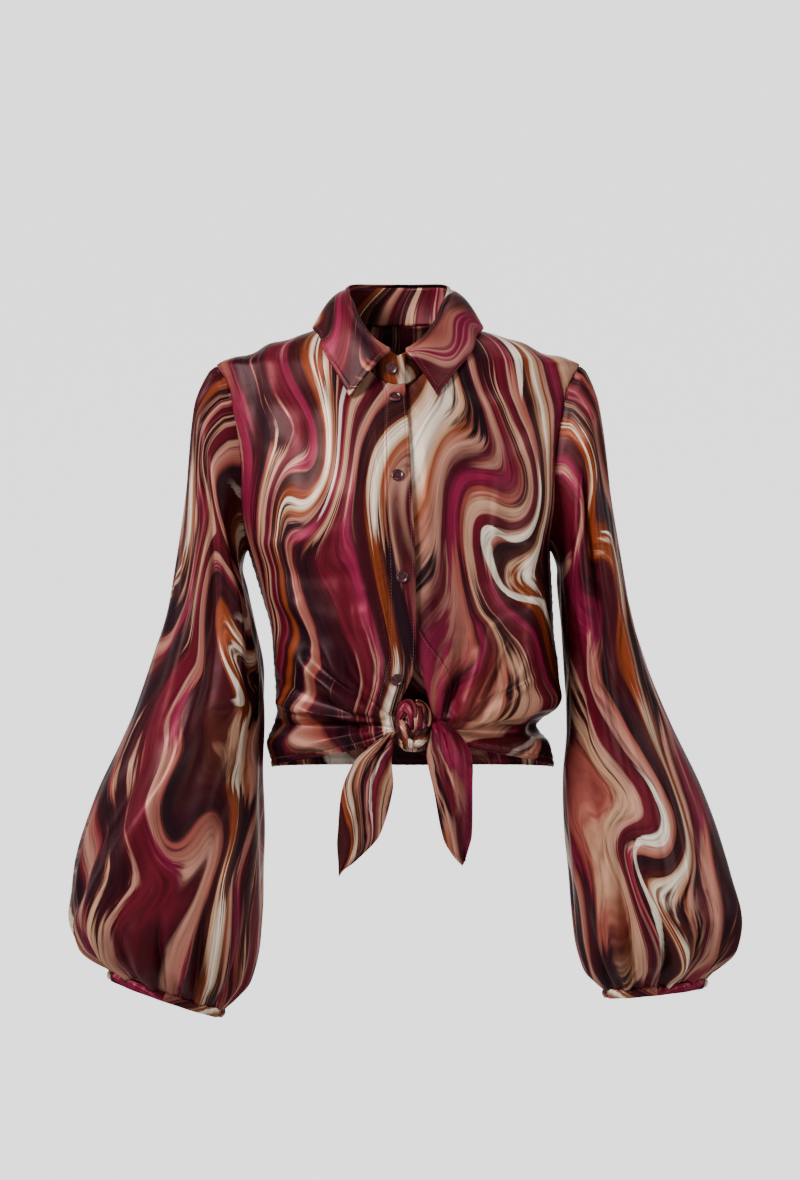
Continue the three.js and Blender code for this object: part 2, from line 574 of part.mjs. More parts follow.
// The stand's columns, in degrees from the centre front towards the left: from its right end round
// the back of the neck to its left end, which passes inside the right one.
const STAND_STATIONS = (() => {
  const list = [...BAND_NECK.right];
  for (let angle = NECK_FIRST; angle <= 360 - NECK_FIRST; angle += NECK_STEP) list.push(angle);
  return [...list, ...BAND_NECK.left.map((angle) => 360 - angle).reverse()];
})();

function foldLine(angle, out) {
  const turned = THREE.MathUtils.euclideanModulo(angle / DEGREE + 180, 360) - 180;
  const radius = read(FOLD_LINE, "angle", Math.abs(turned), "radius") + out;
  const z = read(FOLD_LINE, "angle", Math.abs(turned), "z");
  return vector(radius * Math.sin(angle), -radius * Math.cos(angle), z);
}

// The stand: around 0 at its right end to 1 at its left end, up 0 at the neckline to 1 at the fold.
function standPoint(around, up) {
  const place = around * (STAND_STATIONS.length - 1);
  const low = Math.min(Math.max(Math.floor(place + 1e-9), 0), STAND_STATIONS.length - 2);
  const degrees = mix(STAND_STATIONS[low], STAND_STATIONS[low + 1], place - low);
  const angle = -degrees * DEGREE;
  const inset = STAND_OVERLAP * smooth(328, 350, degrees);
  const out = vector(Math.sin(angle), -Math.cos(angle), 0);
  const base = bodyForm(angle, neckline(angle)).addScaledVector(out, -inset - 0.2);
  base.z += STAND_GAP;
  const top = foldLine(angle, -inset).add(vector(0, 0, -SEAM));
  return base.lerp(top, up).addScaledVector(out, STAND_BULGE * Math.sin(Math.PI * up));
}

// The leaf: around -1 at the wearer's right front to 1 at the left front, down 0 at the fold to 1 at
// its outer edge. It rolls over the stand's top and then falls to the shoulders.
function leafPoint(around, down) {
  const name = around < 0 ? "right" : "left";
  const side = around < 0 ? -1 : 1;
  const degrees = mix(180, LEAF_START, Math.abs(around));
  const rolled = Math.min(1, down / LEAF_ROLL_SHARE);
  const fallen = Math.max(0, (down - LEAF_ROLL_SHARE) / (1 - LEAF_ROLL_SHARE));
  const top = foldLine(side * degrees * DEGREE, mix(LEAF_ROLL.in, LEAF_ROLL.out, rolled));
  top.z += mix(LEAF_ROLL.above, -LEAF_ROLL.below, rolled);
  const on = side * read(LEAF_EDGE[name], "angle", degrees, "on") * DEGREE;
  const z = read(LEAF_EDGE[name], "angle", degrees, "z");
  const edge = bodyForm(on, z).addScaledVector(bodyNormal(on, z), LEAF_CLEAR);
  const out = vector(Math.sin(side * degrees * DEGREE), -Math.cos(side * degrees * DEGREE), 0.5);
  return top.lerp(edge, fallen).addScaledVector(out, LEAF_BULGE * Math.sin(Math.PI * fallen ** 0.6));
}

// A band on a front is made from the panel's own grid, moved out: on the right front the placket,
// on the left one the button band beneath it. It runs from where it meets the knot to the neck.
function bandPoint(name, across, up, thick) {
  const row = mix(BAND_FOOT[name], FRONT_ROWS, up) / FRONT_ROWS;
  return frontPoint(name, (across * BAND_COLUMNS) / FRONT_COLUMNS, row, 1.5 * SEAM + thick);
}

// A free end of the tie: across -1 to 1, down 0 at the knot to 1 at the tip. Its section is a soft
// fold that opens towards the back.
function tiePoint(name, across, down) {
  const at = (column) => read(TIE_ENDS[name], "share", down, column);
  const crease = Math.abs(across) ** 1.6;
  return vector(at("x") + at("half") * across, at("y") + at("fold") * crease, at("z") + 3 * across * down);
}

// A knot of cloth: a rounded lump with one strand wound over it from the upper right to the lower
// left, between two creases.
function knotPoint(around, up) {
  const angle = around * 2 * Math.PI;
  const rise = -Math.cos(Math.PI * up);
  const girth = Math.sin(Math.PI * up) ** 0.75;
  const slant = Math.cos(angle) * 0.9 + rise * 2.1;
  const strand = 1 + 0.1 * Math.cos(slant * 3.2 + Math.sin(angle) * 1.4);
  return vector(
    KNOT.x + KNOT.halfWidth * girth * strand * Math.sin(angle),
    KNOT.y - KNOT.halfDepth * girth * strand * Math.cos(angle),
    KNOT.z + KNOT.halfHeight * rise,
  );
}

// A closed lump on rings between two single end points.
function lump(surface, { columns, rows }) {
  const points = [surface(0, 0)];
  for (let j = 1; j < rows; j++) {
    for (let i = 0; i < columns; i++) points.push(surface(i / columns, j / rows));
  }
  points.push(surface(0, 1));
  const at = (i, j) => 1 + (j - 1) * columns + (i % columns);
  const index = [];
  for (let i = 0; i < columns; i++) {
    index.push(0, at(i + 1, 1), at(i, 1));
    index.push(points.length - 1, at(i, rows - 1), at(i + 1, rows - 1));
    for (let j = 1; j < rows - 1; j++) {
      index.push(at(i, j), at(i + 1, j), at(i + 1, j + 1));
      index.push(at(i, j), at(i + 1, j + 1), at(i, j + 1));
    }
  }
  return facingOut(geometryOf(points, index));
}

const geometryOf = (points, index) =>
  new THREE.BufferGeometry()
    .setAttribute("position", new THREE.Float32BufferAttribute(points.flatMap((p) => [...p]), 3))
    .setIndex(index);

// A closed wall on a grid of a surface's points: the outer face, the inner face moved in by the
// thickness, and the rims. A tube closes on itself across.
function wall(surface, { columns, rows, thickness = CLOTH, tube = false, flip = false }) {
  const step = 1e-3;
  const wide = tube ? columns : columns + 1;
  const outer = [];
  const inner = [];
  for (let j = 0; j <= rows; j++) {
    for (let i = 0; i < wide; i++) {
      const [u, v] = [i / columns, j / rows];
      const a = tube ? u : THREE.MathUtils.clamp(u, step, 1 - step);
      const normal = normalOf(surface, a, THREE.MathUtils.clamp(v, step, 1 - step), step);
      const point = surface(u, v);
      outer.push(point);
      inner.push(point.clone().addScaledVector(normal, flip ? thickness : -thickness));
    }
  }
  const count = outer.length;
  const index = [];
  const quad = (a, b, c, d) => index.push(a, b, c, a, c, d);
  const at = (i, j) => (i % wide) + j * wide;
  for (let j = 0; j < rows; j++) {
    for (let i = 0; i < columns; i++) {
      const [a, b, c, d] = [at(i, j), at(i + 1, j), at(i + 1, j + 1), at(i, j + 1)];
      quad(a, b, c, d);
      quad(a + count, d + count, c + count, b + count);
    }
  }
  for (let i = 0; i < columns; i++) {
    const [a, b, c, d] = [at(i, 0), at(i + 1, 0), at(i, rows), at(i + 1, rows)];
    quad(b, a, a + count, b + count);
    quad(c, d, d + count, c + count);
  }
  for (let j = 0; j < rows && !tube; j++) {
    const [a, b, c, d] = [at(0, j), at(0, j + 1), at(columns, j), at(columns, j + 1)];
    quad(a, b, b + count, a + count);
    quad(d, c, c + count, d + count);
  }
  return facingOut(geometryOf([...outer, ...inner], index));
}

// Turns every face round if a closed geometry encloses a negative volume.
function facingOut(geometry) {
  const { array } = geometry.getAttribute("position");
  const index = geometry.getIndex().array;
  const corner = (k) => vector(...array.slice(3 * index[k], 3 * index[k] + 3));
  let volume = 0;
  for (let k = 0; k < index.length; k += 3) {
    volume += corner(k).dot(corner(k + 1).cross(corner(k + 2)));
  }
  if (volume < 0) {
    for (let k = 0; k < index.length; k += 3) {
      [index[k + 1], index[k + 2]] = [index[k + 2], index[k + 1]];
    }
  }
  return geometry;
}

const material = (color, roughness) => new THREE.MeshStandardMaterial({ color, roughness, metalness: 0 });
const PRINT = material(0x6e2a35, 0.42);
const BUTTON = material(0x4a1520, 0.3);

const blouse = new THREE.Group();
function add(name, geometry, finish = PRINT) {
  const mesh = new THREE.Mesh(geometry, finish);
  mesh.name = name;
  blouse.add(mesh);
  return mesh;
}

function addBody() {
  for (const name of ["right", "left"]) {
    const surface = (u, v) => frontPoint(name, u, v);
    const grid = { columns: FRONT_COLUMNS, rows: FRONT_ROWS, flip: name === "right" };
    add(`front_${name}`, wall(surface, grid));
  }
  const surface = (u, v) => backPoint(mix(-1, 1, u), v);
  add("back", wall(surface, { columns: BACK_COLUMNS, rows: BACK_ROWS, flip: true }));
}

function addSleeves() {
  const round = 4 * GATHERS;
  for (const name of ["right", "left"]) {
    const flip = name === "left";
    const sleeve = (u, v) => sleeveSkin(name, u * 2 * Math.PI, v);
    const cuff = (u, v) => cuffPoint(name, u * 2 * Math.PI, v);
    add(`sleeve_${name}`, wall(sleeve, { columns: round, rows: SLEEVE_ROWS, tube: true, flip }));
    add(`cuff_${name}`, wall(cuff, { columns: round, rows: 1, tube: true, flip }));
  }
}

function addCollar() {
  add("collar_stand", wall(standPoint, { columns: STAND_STATIONS.length - 1, rows: 2, flip: true }));
  const leaf = (u, v) => leafPoint(mix(-1, 1, u), v);
  add("collar_leaf", wall(leaf, { columns: 40, rows: 5, thickness: LEAF_THICK }));
}

function addBands() {
  for (const [node, name] of [["placket", "right"], ["under_placket", "left"]]) {
    const surface = (u, v) => bandPoint(name, u, v, PLACKET_THICK);
    const rows = FRONT_ROWS - BAND_FOOT[name];
    const flip = name === "right";
    add(node, wall(surface, { columns: BAND_COLUMNS, rows, thickness: PLACKET_THICK, flip }));
  }
}

function addTie() {
  add("knot", lump(knotPoint, { columns: 20, rows: 14 }));
  for (const name of ["right", "left"]) {
    const surface = (u, v) => tiePoint(name, mix(-1, 1, u), v);
    add(`tie_end_${name}`, wall(surface, { columns: 6, rows: 10 }));
  }
}

// A button lies flat on a surface at one of its points, its dished face outwards.
function addButton(name, point, normal) {
  const profile = [
    [0, 0],
    [BUTTON_RADIUS, 0.2 * BUTTON_THICK],
    [BUTTON_RADIUS, 0.8 * BUTTON_THICK],
    [0.88 * BUTTON_RADIUS, BUTTON_THICK],
    [0.74 * BUTTON_RADIUS, BUTTON_THICK - BUTTON_DISH],
    [0, BUTTON_THICK - BUTTON_DISH],
  ].map(([radius, height]) => new THREE.Vector2(radius, height));
  const mesh = add(name, new THREE.LatheGeometry(profile, BUTTON_SIDES), BUTTON);
  mesh.quaternion.setFromUnitVectors(vector(0, 1, 0), normal);
  mesh.position.copy(point).addScaledVector(normal, BUTTON_CLEAR);
}

function addButtons() {
  const onStand = STAND_BUTTON.column / (STAND_STATIONS.length - 1);
  const outward = normalOf(standPoint, onStand, STAND_BUTTON.up).negate();
  addButton("button_1", standPoint(onStand, STAND_BUTTON.up), outward);
  const outside = (across, up) => bandPoint("right", across, up, PLACKET_THICK);
  BUTTON_HEIGHTS.forEach((height, k) => {
    let [low, high] = [0, 1];
    for (let i = 0; i < 20; i++) {
      const middle = (low + high) / 2;
      if (outside(0.5, middle).z < height) low = middle;
      else high = middle;
    }
    addButton(`button_${k + 2}`, outside(0.5, low), normalOf(outside, 0.5, low, 0.02).negate());
  });
}

addBody();
addSleeves();
addCollar();
addBands();
addTie();
addButtons();

export default blouse;
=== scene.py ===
# %% [markdown]
# # A printed satin blouse
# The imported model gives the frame: every solid of the blouse in metres, +Z up, the front facing
# -Y, and the origin between the shoulders. Each cloth panel is made again here as a thin sheet on
# the same form, fine enough for soft folds, and then takes the place of its plain solid.

import bpy
import numpy as np
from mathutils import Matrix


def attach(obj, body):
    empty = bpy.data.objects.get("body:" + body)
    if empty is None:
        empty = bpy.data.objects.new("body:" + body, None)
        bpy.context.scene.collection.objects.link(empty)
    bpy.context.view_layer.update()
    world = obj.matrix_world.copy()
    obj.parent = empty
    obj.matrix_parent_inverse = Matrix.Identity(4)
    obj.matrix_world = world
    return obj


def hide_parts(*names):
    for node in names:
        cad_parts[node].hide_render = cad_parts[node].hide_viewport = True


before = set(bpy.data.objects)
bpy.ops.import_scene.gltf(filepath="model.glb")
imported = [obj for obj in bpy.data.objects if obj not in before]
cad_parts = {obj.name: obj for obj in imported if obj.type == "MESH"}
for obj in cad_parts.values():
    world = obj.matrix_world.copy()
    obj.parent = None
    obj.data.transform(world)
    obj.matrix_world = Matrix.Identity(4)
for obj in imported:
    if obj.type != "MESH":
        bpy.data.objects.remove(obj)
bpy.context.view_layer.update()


# %% [markdown]
# ## Tables and curves
# A pattern cutter gives a garment by a few measures at a few heights. Here each table is such a
# set of rows with named columns, in millimetres, and a smooth curve through each column gives the
# values between. The curve never overshoots its rows, so a straight stretch stays straight.

# %% Reading a table
MM = 0.001


def table(names, rows):
    """A table as one array for each named column."""
    return dict(zip(names.split(), np.array(rows, float).T))


def read(rows, key, at, column):
    """A column at any value of the key column: a cubic through the rows whose slope at each row is the
    harmonic mean of the slopes on either side, or zero where those differ in sign."""
    x, y = rows[key], rows[column]
    slope = np.diff(y) / np.diff(x)
    product = slope[:-1] * slope[1:]
    total = slope[:-1] + slope[1:]
    middle = np.where(product > 0, 2 * product / np.where(product > 0, total, 1), 0)
    tangent = np.concatenate([slope[:1], middle, slope[-1:]])
    at = np.clip(at, x[0], x[-1])
    i = np.clip(np.searchsorted(x, at, side="right") - 1, 0, len(x) - 2)
    width = x[i + 1] - x[i]
    s = (at - x[i]) / width
    return (
        y[i] * (1 + 2 * s) * (1 - s) ** 2
        + tangent[i] * width * s * (1 - s) ** 2
        + y[i + 1] * s * s * (3 - 2 * s)
        + tangent[i + 1] * width * s * s * (s - 1)
    )


def mix(a, b, share):
    """a at share 0, b at share 1."""
    return a + (b - a) * share


def smooth(low, high, value):
    """0 below low, 1 above high, and 3t^2 - 2t^3 between."""
    t = np.clip((value - low) / (high - low), 0, 1)
    return t * t * (3 - 2 * t)


def grid(rows, columns):
    """Two arrays over a grid: each row's value, and each column's."""
    return np.meshgrid(rows, columns, indexing="ij")


def round_angles(columns):
    """Even angles round a full turn, without the first again at the end."""
    return np.arange(columns) / columns * 2 * np.pi


# %% [markdown]
# ## The body's form
# The blouse hangs on a figure, so its panels lie on one closed form. Each level of that form is a
# superellipse, which is an ellipse with fuller corners, with its own depth to the front and back.

# %% Sections of the body
BODY = table("z low high front back round", [
    (-440, -125, 155, 105, 88, 2.3), (-428, -126, 155, 106, 88, 2.3),
    (-408, -131, 151, 107, 86, 2.3), (-390, -125, 139, 105, 82, 2.3),
    (-376, -121, 152, 111, 86, 2.3), (-360, -122, 161, 118, 91, 2.4),
    (-330, -124, 160, 122, 93, 2.4), (-300, -126, 156, 123, 92, 2.4),
    (-255, -138, 154, 122, 93, 2.4), (-215, -150, 152, 123, 95, 2.4),
    (-170, -163, 163, 122, 98, 2.3), (-120, -170, 170, 107, 97, 2.2), (-80, -177, 177, 87, 90, 2.2),
    (-54, -180, 180, 70, 83, 2.1), (-31, -182, 182, 60, 76, 2.0), (-17, -146, 146, 55, 70, 2.0),
    (-5, -113, 113, 50, 64, 2.0), (5, -84, 84, 44, 57, 2.0), (12, -61, 61, 39, 50, 2.0),
])
NECK_TOP, NECK_DROP = 12, 66
SHOULDER_Z, UNDERARM_Z = -31, -215
ARMHOLE_FRONT, ARMHOLE_BACK, ARMHOLE_EGG = 48, 46, 0.22
HEM_SIDE_Z = -432
QUARTER = np.pi / 2


def half_width(z):
    """Half the section's width at a height."""
    return (read(BODY, "z", z, "high") - read(BODY, "z", z, "low")) / 2


def centre(z):
    """The section's middle in x at a height."""
    return (read(BODY, "z", z, "high") + read(BODY, "z", z, "low")) / 2


def body_form(angle, z):
    """Points at an angle from the centre front: on |x/half|^n + |y/depth|^n = 1 about the middle."""
    n = read(BODY, "z", z, "round")
    depth = np.where(np.cos(angle) > 0, read(BODY, "z", z, "front"), read(BODY, "z", z, "back"))
    across = np.abs(np.sin(angle)) / half_width(z)
    along = np.abs(np.cos(angle)) / depth
    radius = (across**n + along**n) ** (-1 / n)
    return np.stack(
        [centre(z) + radius * np.sin(angle), -radius * np.cos(angle), z + 0 * radius], -1
    )


def unit(v):
    """Vectors scaled to length 1."""
    return v / np.maximum(np.linalg.norm(v, axis=-1, keepdims=True), 1e-12)


def body_normal(angle, z):
    """Outward normals of the form: the cross product of its steps in angle and in height."""
    step = 2e-3
    around = body_form(angle + step, z) - body_form(angle - step, z)
    upward = body_form(angle, z + step) - body_form(angle, z - step)
    normal = unit(np.cross(around, upward))
    away = np.stack([np.sin(angle), -np.cos(angle), 0.3 + 0 * angle], -1)
    return normal * np.where((normal * away).sum(-1, keepdims=True) < 0, -1, 1)


def neckline(angle):
    """Height of the neck seam: level at the back, falling with the cube of the cosine to the front."""
    cosine = np.cos(angle)
    return NECK_TOP - NECK_DROP * np.where(cosine > 0, cosine, 0) ** 3


def armhole(turn, reach):
    """Angle and height of the armhole seam, an egg from the underarm (0) to the shoulder (1)."""
    around = np.pi * turn
    z = (SHOULDER_Z + UNDERARM_Z) / 2 - (SHOULDER_Z - UNDERARM_Z) / 2 * np.cos(around)
    away = np.abs(reach * np.sin(around) * (1 + ARMHOLE_EGG * np.cos(around)))
    n = read(BODY, "z", z, "round")
    depth = read(BODY, "z", z, "front" if reach > 0 else "back")
    x = half_width(z) * (1 - (away / depth) ** n) ** (1 / n)
    return np.arctan2(x, np.sign(reach) * away), z


print("bust depth:", round(float(-body_form(0.0, -190.0)[1] + body_form(np.pi, -190.0)[1])), "mm")

# %% [markdown]
# ## Folds
# Satin falls in soft ridges and troughs. Each one is a curve over the cloth with a bell-shaped
# profile, and all of them are listed by where they start, lean over and end. The knot pulls most
# of the front's folds, so those fan out from it.

# %% Fold tables
FOLD = "x0 z0 x1 z1 x2 z2 width height"
FRONT_FOLDS = table(FOLD, [
    (-6, -376, -24, -352, -38, -280, 9, 9.5), (-14, -377, -40, -356, -62, -300, 9, -8.1),
    (-10, -379, -58, -364, -104, -310, 10.1, 10.8), (-22, -382, -70, -371, -122, -344, 9, -6.8),
    (-10, -384, -62, -379, -124, -366, 9, 9.5), (-22, -389, -70, -390, -126, -388, 7.8, -8.1),
    (-10, -393, -60, -400, -122, -408, 9, 8.1), (46, -374, 58, -352, 62, -300, 7.8, -6.8),
    (54, -378, 76, -350, 84, -290, 10.1, 10.8), (70, -376, 92, -352, 102, -310, 9, -5.4),
    (44, -380, 90, -372, 126, -320, 14.6, 9.5), (40, -382, 90, -376, 158, -362, 13.4, 12.2),
    (44, -390, 96, -396, 152, -390, 7.8, -10.8), (36, -396, 90, -410, 150, -410, 10.1, 6.8),
    (-136, -190, -122, -240, -84, -292, 13, 5), (136, -190, 130, -250, 116, -330, 13, 5),
    (-96, -90, -84, -170, -92, -260, 16, 3), (92, -90, 80, -180, 96, -270, 16, 3),
    # narrow valleys between them, deepest near the knot
    (-6, -377, -48, -357, -88, -320, 3.8, -6.5), (-8, -382, -62, -374, -120, -358, 3.8, -6),
    (-8, -388, -64, -388, -122, -385, 3.6, -6), (0, -371, -24, -346, -34, -300, 3.6, -5.5),
    (48, -381, 84, -366, 120, -344, 3.8, -5.5), (46, -372, 62, -352, 72, -310, 3.6, -5),
    # finer ones between, sharp where they leave the knot
    (-4, -374, -20, -340, -30, -256, 5.6, 4.3), (-8, -377, -34, -340, -52, -240, 5.6, -4.1),
    (-18, -378, -56, -350, -96, -270, 5.6, 4.6), (-12, -380, -48, -362, -90, -318, 5, -4.6),
    (-30, -383, -76, -374, -118, -356, 4.5, 4.3), (-16, -386, -60, -383, -116, -372, 3.9, -4.1),
    (-26, -392, -66, -402, -108, -416, 4.5, 4.1), (-30, -386, -74, -387, -120, -382, 3.9, 3.2),
    (40, -372, 50, -340, 54, -280, 5.6, 4.1), (60, -384, 96, -366, 140, -334, 5.6, 4.6),
    (52, -380, 84, -362, 112, -300, 5.6, -4.3), (52, -386, 96, -384, 146, -374, 4.5, -3.5),
    (50, -402, 96, -416, 146, -420, 4.5, 3.5), (44, -386, 90, -389, 140, -384, 3.4, 3.2),
    (46, -394, 90, -401, 146, -401, 3.9, 3.2), (-150, -205, -112, -216, -62, -200, 9, 2.8),
    (-146, -225, -104, -246, -46, -240, 10, -2.6), (-140, -250, -100, -272, -52, -290, 10, 2.6),
    (150, -205, 118, -216, 70, -200, 9, 2.8), (148, -232, 112, -252, 60, -250, 10, -2.6),
    (140, -262, 112, -280, 66, -296, 10, 2.6), (-150, -60, -110, -82, -60, -70, 12, 2),
    (-150, -90, -120, -122, -90, -126, 10, -2), (150, -60, 104, -86, 58, -72, 12, 2),
    (148, -92, 122, -126, 92, -134, 10, -2), (-40, -90, -46, -170, -36, -250, 12, 2.2),
    (-70, -110, -66, -200, -72, -280, 9, -2), (44, -96, 40, -180, 46, -260, 11, -2.2),
    (70, -106, 62, -190, 66, -262, 9, 2),
])
BACK_FOLDS = table(FOLD, [
    (-128, -392, 0, -400, 140, -392, 9, -9.8), (-120, -340, -70, -356, -10, -352, 13, 8.4),
    (140, -338, 90, -358, 24, -360, 13, 8.4), (-92, -120, -84, -220, -66, -330, 17, 5.6),
    (96, -110, 90, -220, 72, -330, 17, 5.6), (4, -150, 8, -250, 14, -340, 20, -5.6),
    (-140, -180, -120, -240, -100, -290, 12, 5.6), (142, -180, 130, -240, 116, -290, 12, 5.6),
    (-110, -374, -60, -384, 0, -380, 6, 3.4), (128, -376, 70, -388, 16, -382, 6, 3.4),
    (-60, -400, -48, -416, -52, -430, 7, 3.1), (20, -402, 30, -418, 26, -432, 7, 2.8),
    (84, -402, 92, -416, 88, -430, 7, 3.1), (-40, -60, -36, -110, -44, -170, 12, 2.2),
    (44, -56, 40, -112, 50, -180, 12, 2.2), (-140, -230, -80, -262, -20, -258, 11, 3.1),
    (146, -234, 92, -270, 30, -262, 11, 3.1),
])


def fold_height(folds, x, z):
    """Sum over folds of height x exp(-(distance / width)^1.9) x sin(pi (0.12 + 0.76 t)): distance
    is to the fold's curve, taken as short straight runs, and t is how far along it the nearest
    point lies."""
    total = np.zeros_like(x)
    steps = np.linspace(0, 1, 15)
    pull = (1 - steps) ** 2, 2 * steps * (1 - steps), steps**2
    for x0, z0, x1, z1, x2, z2, width, height in np.stack(list(folds.values()), -1):
        cx = x0 * pull[0] + x1 * pull[1] + x2 * pull[2]
        cz = z0 * pull[0] + z1 * pull[1] + z2 * pull[2]
        nearest = np.full_like(x, 1e9)
        along = np.zeros_like(x)
        for k in range(len(steps) - 1):
            dx, dz = cx[k + 1] - cx[k], cz[k + 1] - cz[k]
            t = np.clip(((x - cx[k]) * dx + (z - cz[k]) * dz) / (dx * dx + dz * dz), 0, 1)
            gap = np.hypot(x - cx[k] - t * dx, z - cz[k] - t * dz)
            along = np.where(gap < nearest, (k + t) / (len(steps) - 1), along)
            nearest = np.minimum(gap, nearest)
        bell = np.exp(-((nearest / width) ** 1.9))
        total += height * bell * np.sin(np.pi * (0.12 + 0.76 * along))
    return total


def body_skin(angle, z, lift=0.0):
    """The form moved out along its normals by the folds, which die out at the side seams."""
    bare = body_form(angle, z)
    cosine = np.cos(angle)
    front = fold_height(FRONT_FOLDS, bare[..., 0], bare[..., 2])
    back = fold_height(BACK_FOLDS, bare[..., 0], bare[..., 2])
    beside = smooth(-300, -230, z)
    low, high = mix(0, 0.26, beside), mix(0.25, 0.6, beside)
    height = np.where(cosine > 0, front, back) * smooth(low, high, np.abs(cosine)) + lift
    return bare + body_normal(angle, z) * height[..., None]


print("folds in the fronts:", len(FRONT_FOLDS["x0"]), "in the back:", len(BACK_FOLDS["x0"]))

# %% [markdown]
# ## From a grid of points to a sheet
# A sheet of cloth is a grid of points with a second grid just inside it, joined along the rims, so
# it is a thin closed shell. The cut of each panel goes into a UV map in metres, as if the cloth
# were laid flat again: the print then runs over the folds as it does on real cloth.

# %% Making a sheet
SHEET = 0.8  # thickness in mm, the satin with its seam allowances


def grid_normals(points, round_=False):
    """Unit normals of a grid of points from the differences between neighbours."""
    if round_:
        across = np.roll(points, -1, 1) - np.roll(points, 1, 1)
    else:
        across = np.gradient(points, axis=1)
    return unit(np.cross(across, np.gradient(points, axis=0)))


def normals_towards(points, away, round_=False):
    """Grid normals on the side that away points to."""
    normal = grid_normals(points, round_)
    return normal * np.sign((normal * away).sum(-1).sum() or 1)


def mesh_from(name, verts, faces, uv=None, loops=None):
    """A smooth-shaded mesh object at the origin, its places in metres, with faces turned outwards."""
    verts = np.asarray(verts, float) * MM
    faces = np.asarray(faces)
    corner = verts[faces]
    volume = (corner[:, 0] * np.cross(corner[:, 1], corner[:, 2])).sum()
    volume += (corner[:, 0] * np.cross(corner[:, 2], corner[:, -1])).sum()
    if volume < 0:
        faces = faces[:, ::-1]
        loops = None if loops is None else loops[:, ::-1]
    mesh = bpy.data.meshes.new(name)
    mesh.vertices.add(len(verts))
    mesh.vertices.foreach_set("co", verts.astype(np.float32).ravel())
    mesh.loops.add(faces.size)
    mesh.loops.foreach_set("vertex_index", faces.astype(np.int32).ravel())
    mesh.polygons.add(len(faces))
    starts = np.arange(0, faces.size, faces.shape[1], dtype=np.int32)
    mesh.polygons.foreach_set("loop_start", starts)
    mesh.polygons.foreach_set("use_smooth", np.ones(len(faces), bool))
    if uv is not None:
        layer = mesh.uv_layers.new(name="cut")
        layer.uv.foreach_set("vector", uv[loops].astype(np.float32).ravel())
    mesh.update()
    mesh.validate()
    obj = bpy.data.objects.new(name, mesh)
    bpy.context.scene.collection.objects.link(obj)
    return obj


def cells(rows, wide, columns):
    """The four corners of each cell of a grid, wide cells to a row. Where wide is the number of
    columns, the last column meets the first."""
    j, i = (number.ravel() for number in grid(np.arange(rows - 1), np.arange(wide)))
    k = (i + 1) % columns
    row, below = j * columns, (j + 1) * columns
    return np.stack([row + i, row + k, below + k, below + i], -1)


def wall_faces(rows, wide, columns, open_sides):
    """Corners of a wall made of two grids: the first grid, the second turned round, the rims along
    the first and last rows and, on an open sheet, the rims down its sides."""
    behind = rows * columns

    def rim(a, b, turned):
        quads = np.stack([b, a, a + behind, b + behind], -1)
        return quads[:, ::-1] if turned else quads

    outer = cells(rows, wide, columns)
    parts = [outer, outer[:, ::-1] + behind]
    k = np.arange(wide)
    for start in (0, (rows - 1) * columns):
        parts.append(rim(start + k, start + (k + 1) % columns, start > 0))
    if open_sides:
        k = np.arange(rows - 1) * columns
        for column in (0, columns - 1):
            parts.append(rim(k + columns + column, k + column, column > 0))
    return np.concatenate(parts)


def shell(name, points, cut, round_=False, thick=SHEET, inward=None):
    """A closed wall between a grid of points and the same grid moved in along its normals. The cut is
    each point's place on the flat cloth, with one more column than the points where a tube closes."""
    rows, columns = points.shape[:2]
    if inward is None:
        inward = points.reshape(-1, 3).mean(0) - points
    inner = points + normals_towards(points, inward, round_) * thick
    verts = np.concatenate([points.reshape(-1, 3), inner.reshape(-1, 3)])
    wide = cut.shape[1]
    faces = wall_faces(rows, wide - 1, columns, not round_)
    loops = wall_faces(rows, wide - 1, wide, not round_)
    return mesh_from(name, verts, faces, np.concatenate([cut.reshape(-1, 2)] * 2), loops)


def spread(points):
    """Area of a grid of points in square metres, by the two triangles of each cell."""
    a, b = points[:-1, :-1], points[:-1, 1:]
    c, d = points[1:, 1:], points[1:, :-1]
    first, second = np.cross(b - a, c - a), np.cross(c - a, d - a)
    size = np.linalg.norm(first, axis=-1) + np.linalg.norm(second, axis=-1)
    return float(size.sum()) / 2 * MM * MM


def closed(points):
    """A tube's grid with its first column again at the end."""
    return np.concatenate([points, points[:, :1]], 1)


def lengths(points, axis):
    """Running length in mm along the rows or columns of a grid."""
    step = np.linalg.norm(np.diff(points, axis=axis), axis=-1)
    pad = [(1, 0), (0, 0)] if axis == 0 else [(0, 0), (1, 0)]
    return np.cumsum(np.pad(step, pad), axis=axis)


# %% [markdown]
# ## The print's colours
# The cloth carries a marbled design: ribbons of colour that flow down the panels and curl here and
# there. It is made from noise alone, so no two panels are alike and nothing repeats. Shader maths
# is written as Python expressions: this small class turns them into Math nodes.

# %% Shader maths
class Link:
    """A node's output that can be used in an expression."""

    def __init__(self, paint, socket):
        self.paint, self.socket = paint, socket

    def _math(self, operation, *values):
        return self.paint.add("ShaderNodeMath", dict(enumerate(values)), operation=operation)

    def __add__(self, other):
        return self._math("ADD", self, other)

    def __sub__(self, other):
        return self._math("SUBTRACT", self, other)

    def __rsub__(self, other):
        return self._math("SUBTRACT", other, self)

    def __mul__(self, other):
        return self._math("MULTIPLY", self, other)

    def __truediv__(self, other):
        return self._math("DIVIDE", self, other)

    def part(self):
        """What is left above the whole number."""
        return self._math("FRACT", self)

    def size(self):
        """The number without its sign."""
        return self._math("ABSOLUTE", self)

    def between(self, low, high):
        """0 below low to 1 above high, smoothly."""
        sockets = {"Value": self, "From Min": low, "From Max": high}
        return self.paint.add("ShaderNodeMapRange", sockets, interpolation_type="SMOOTHSTEP")

    __radd__, __rmul__ = __add__, __mul__


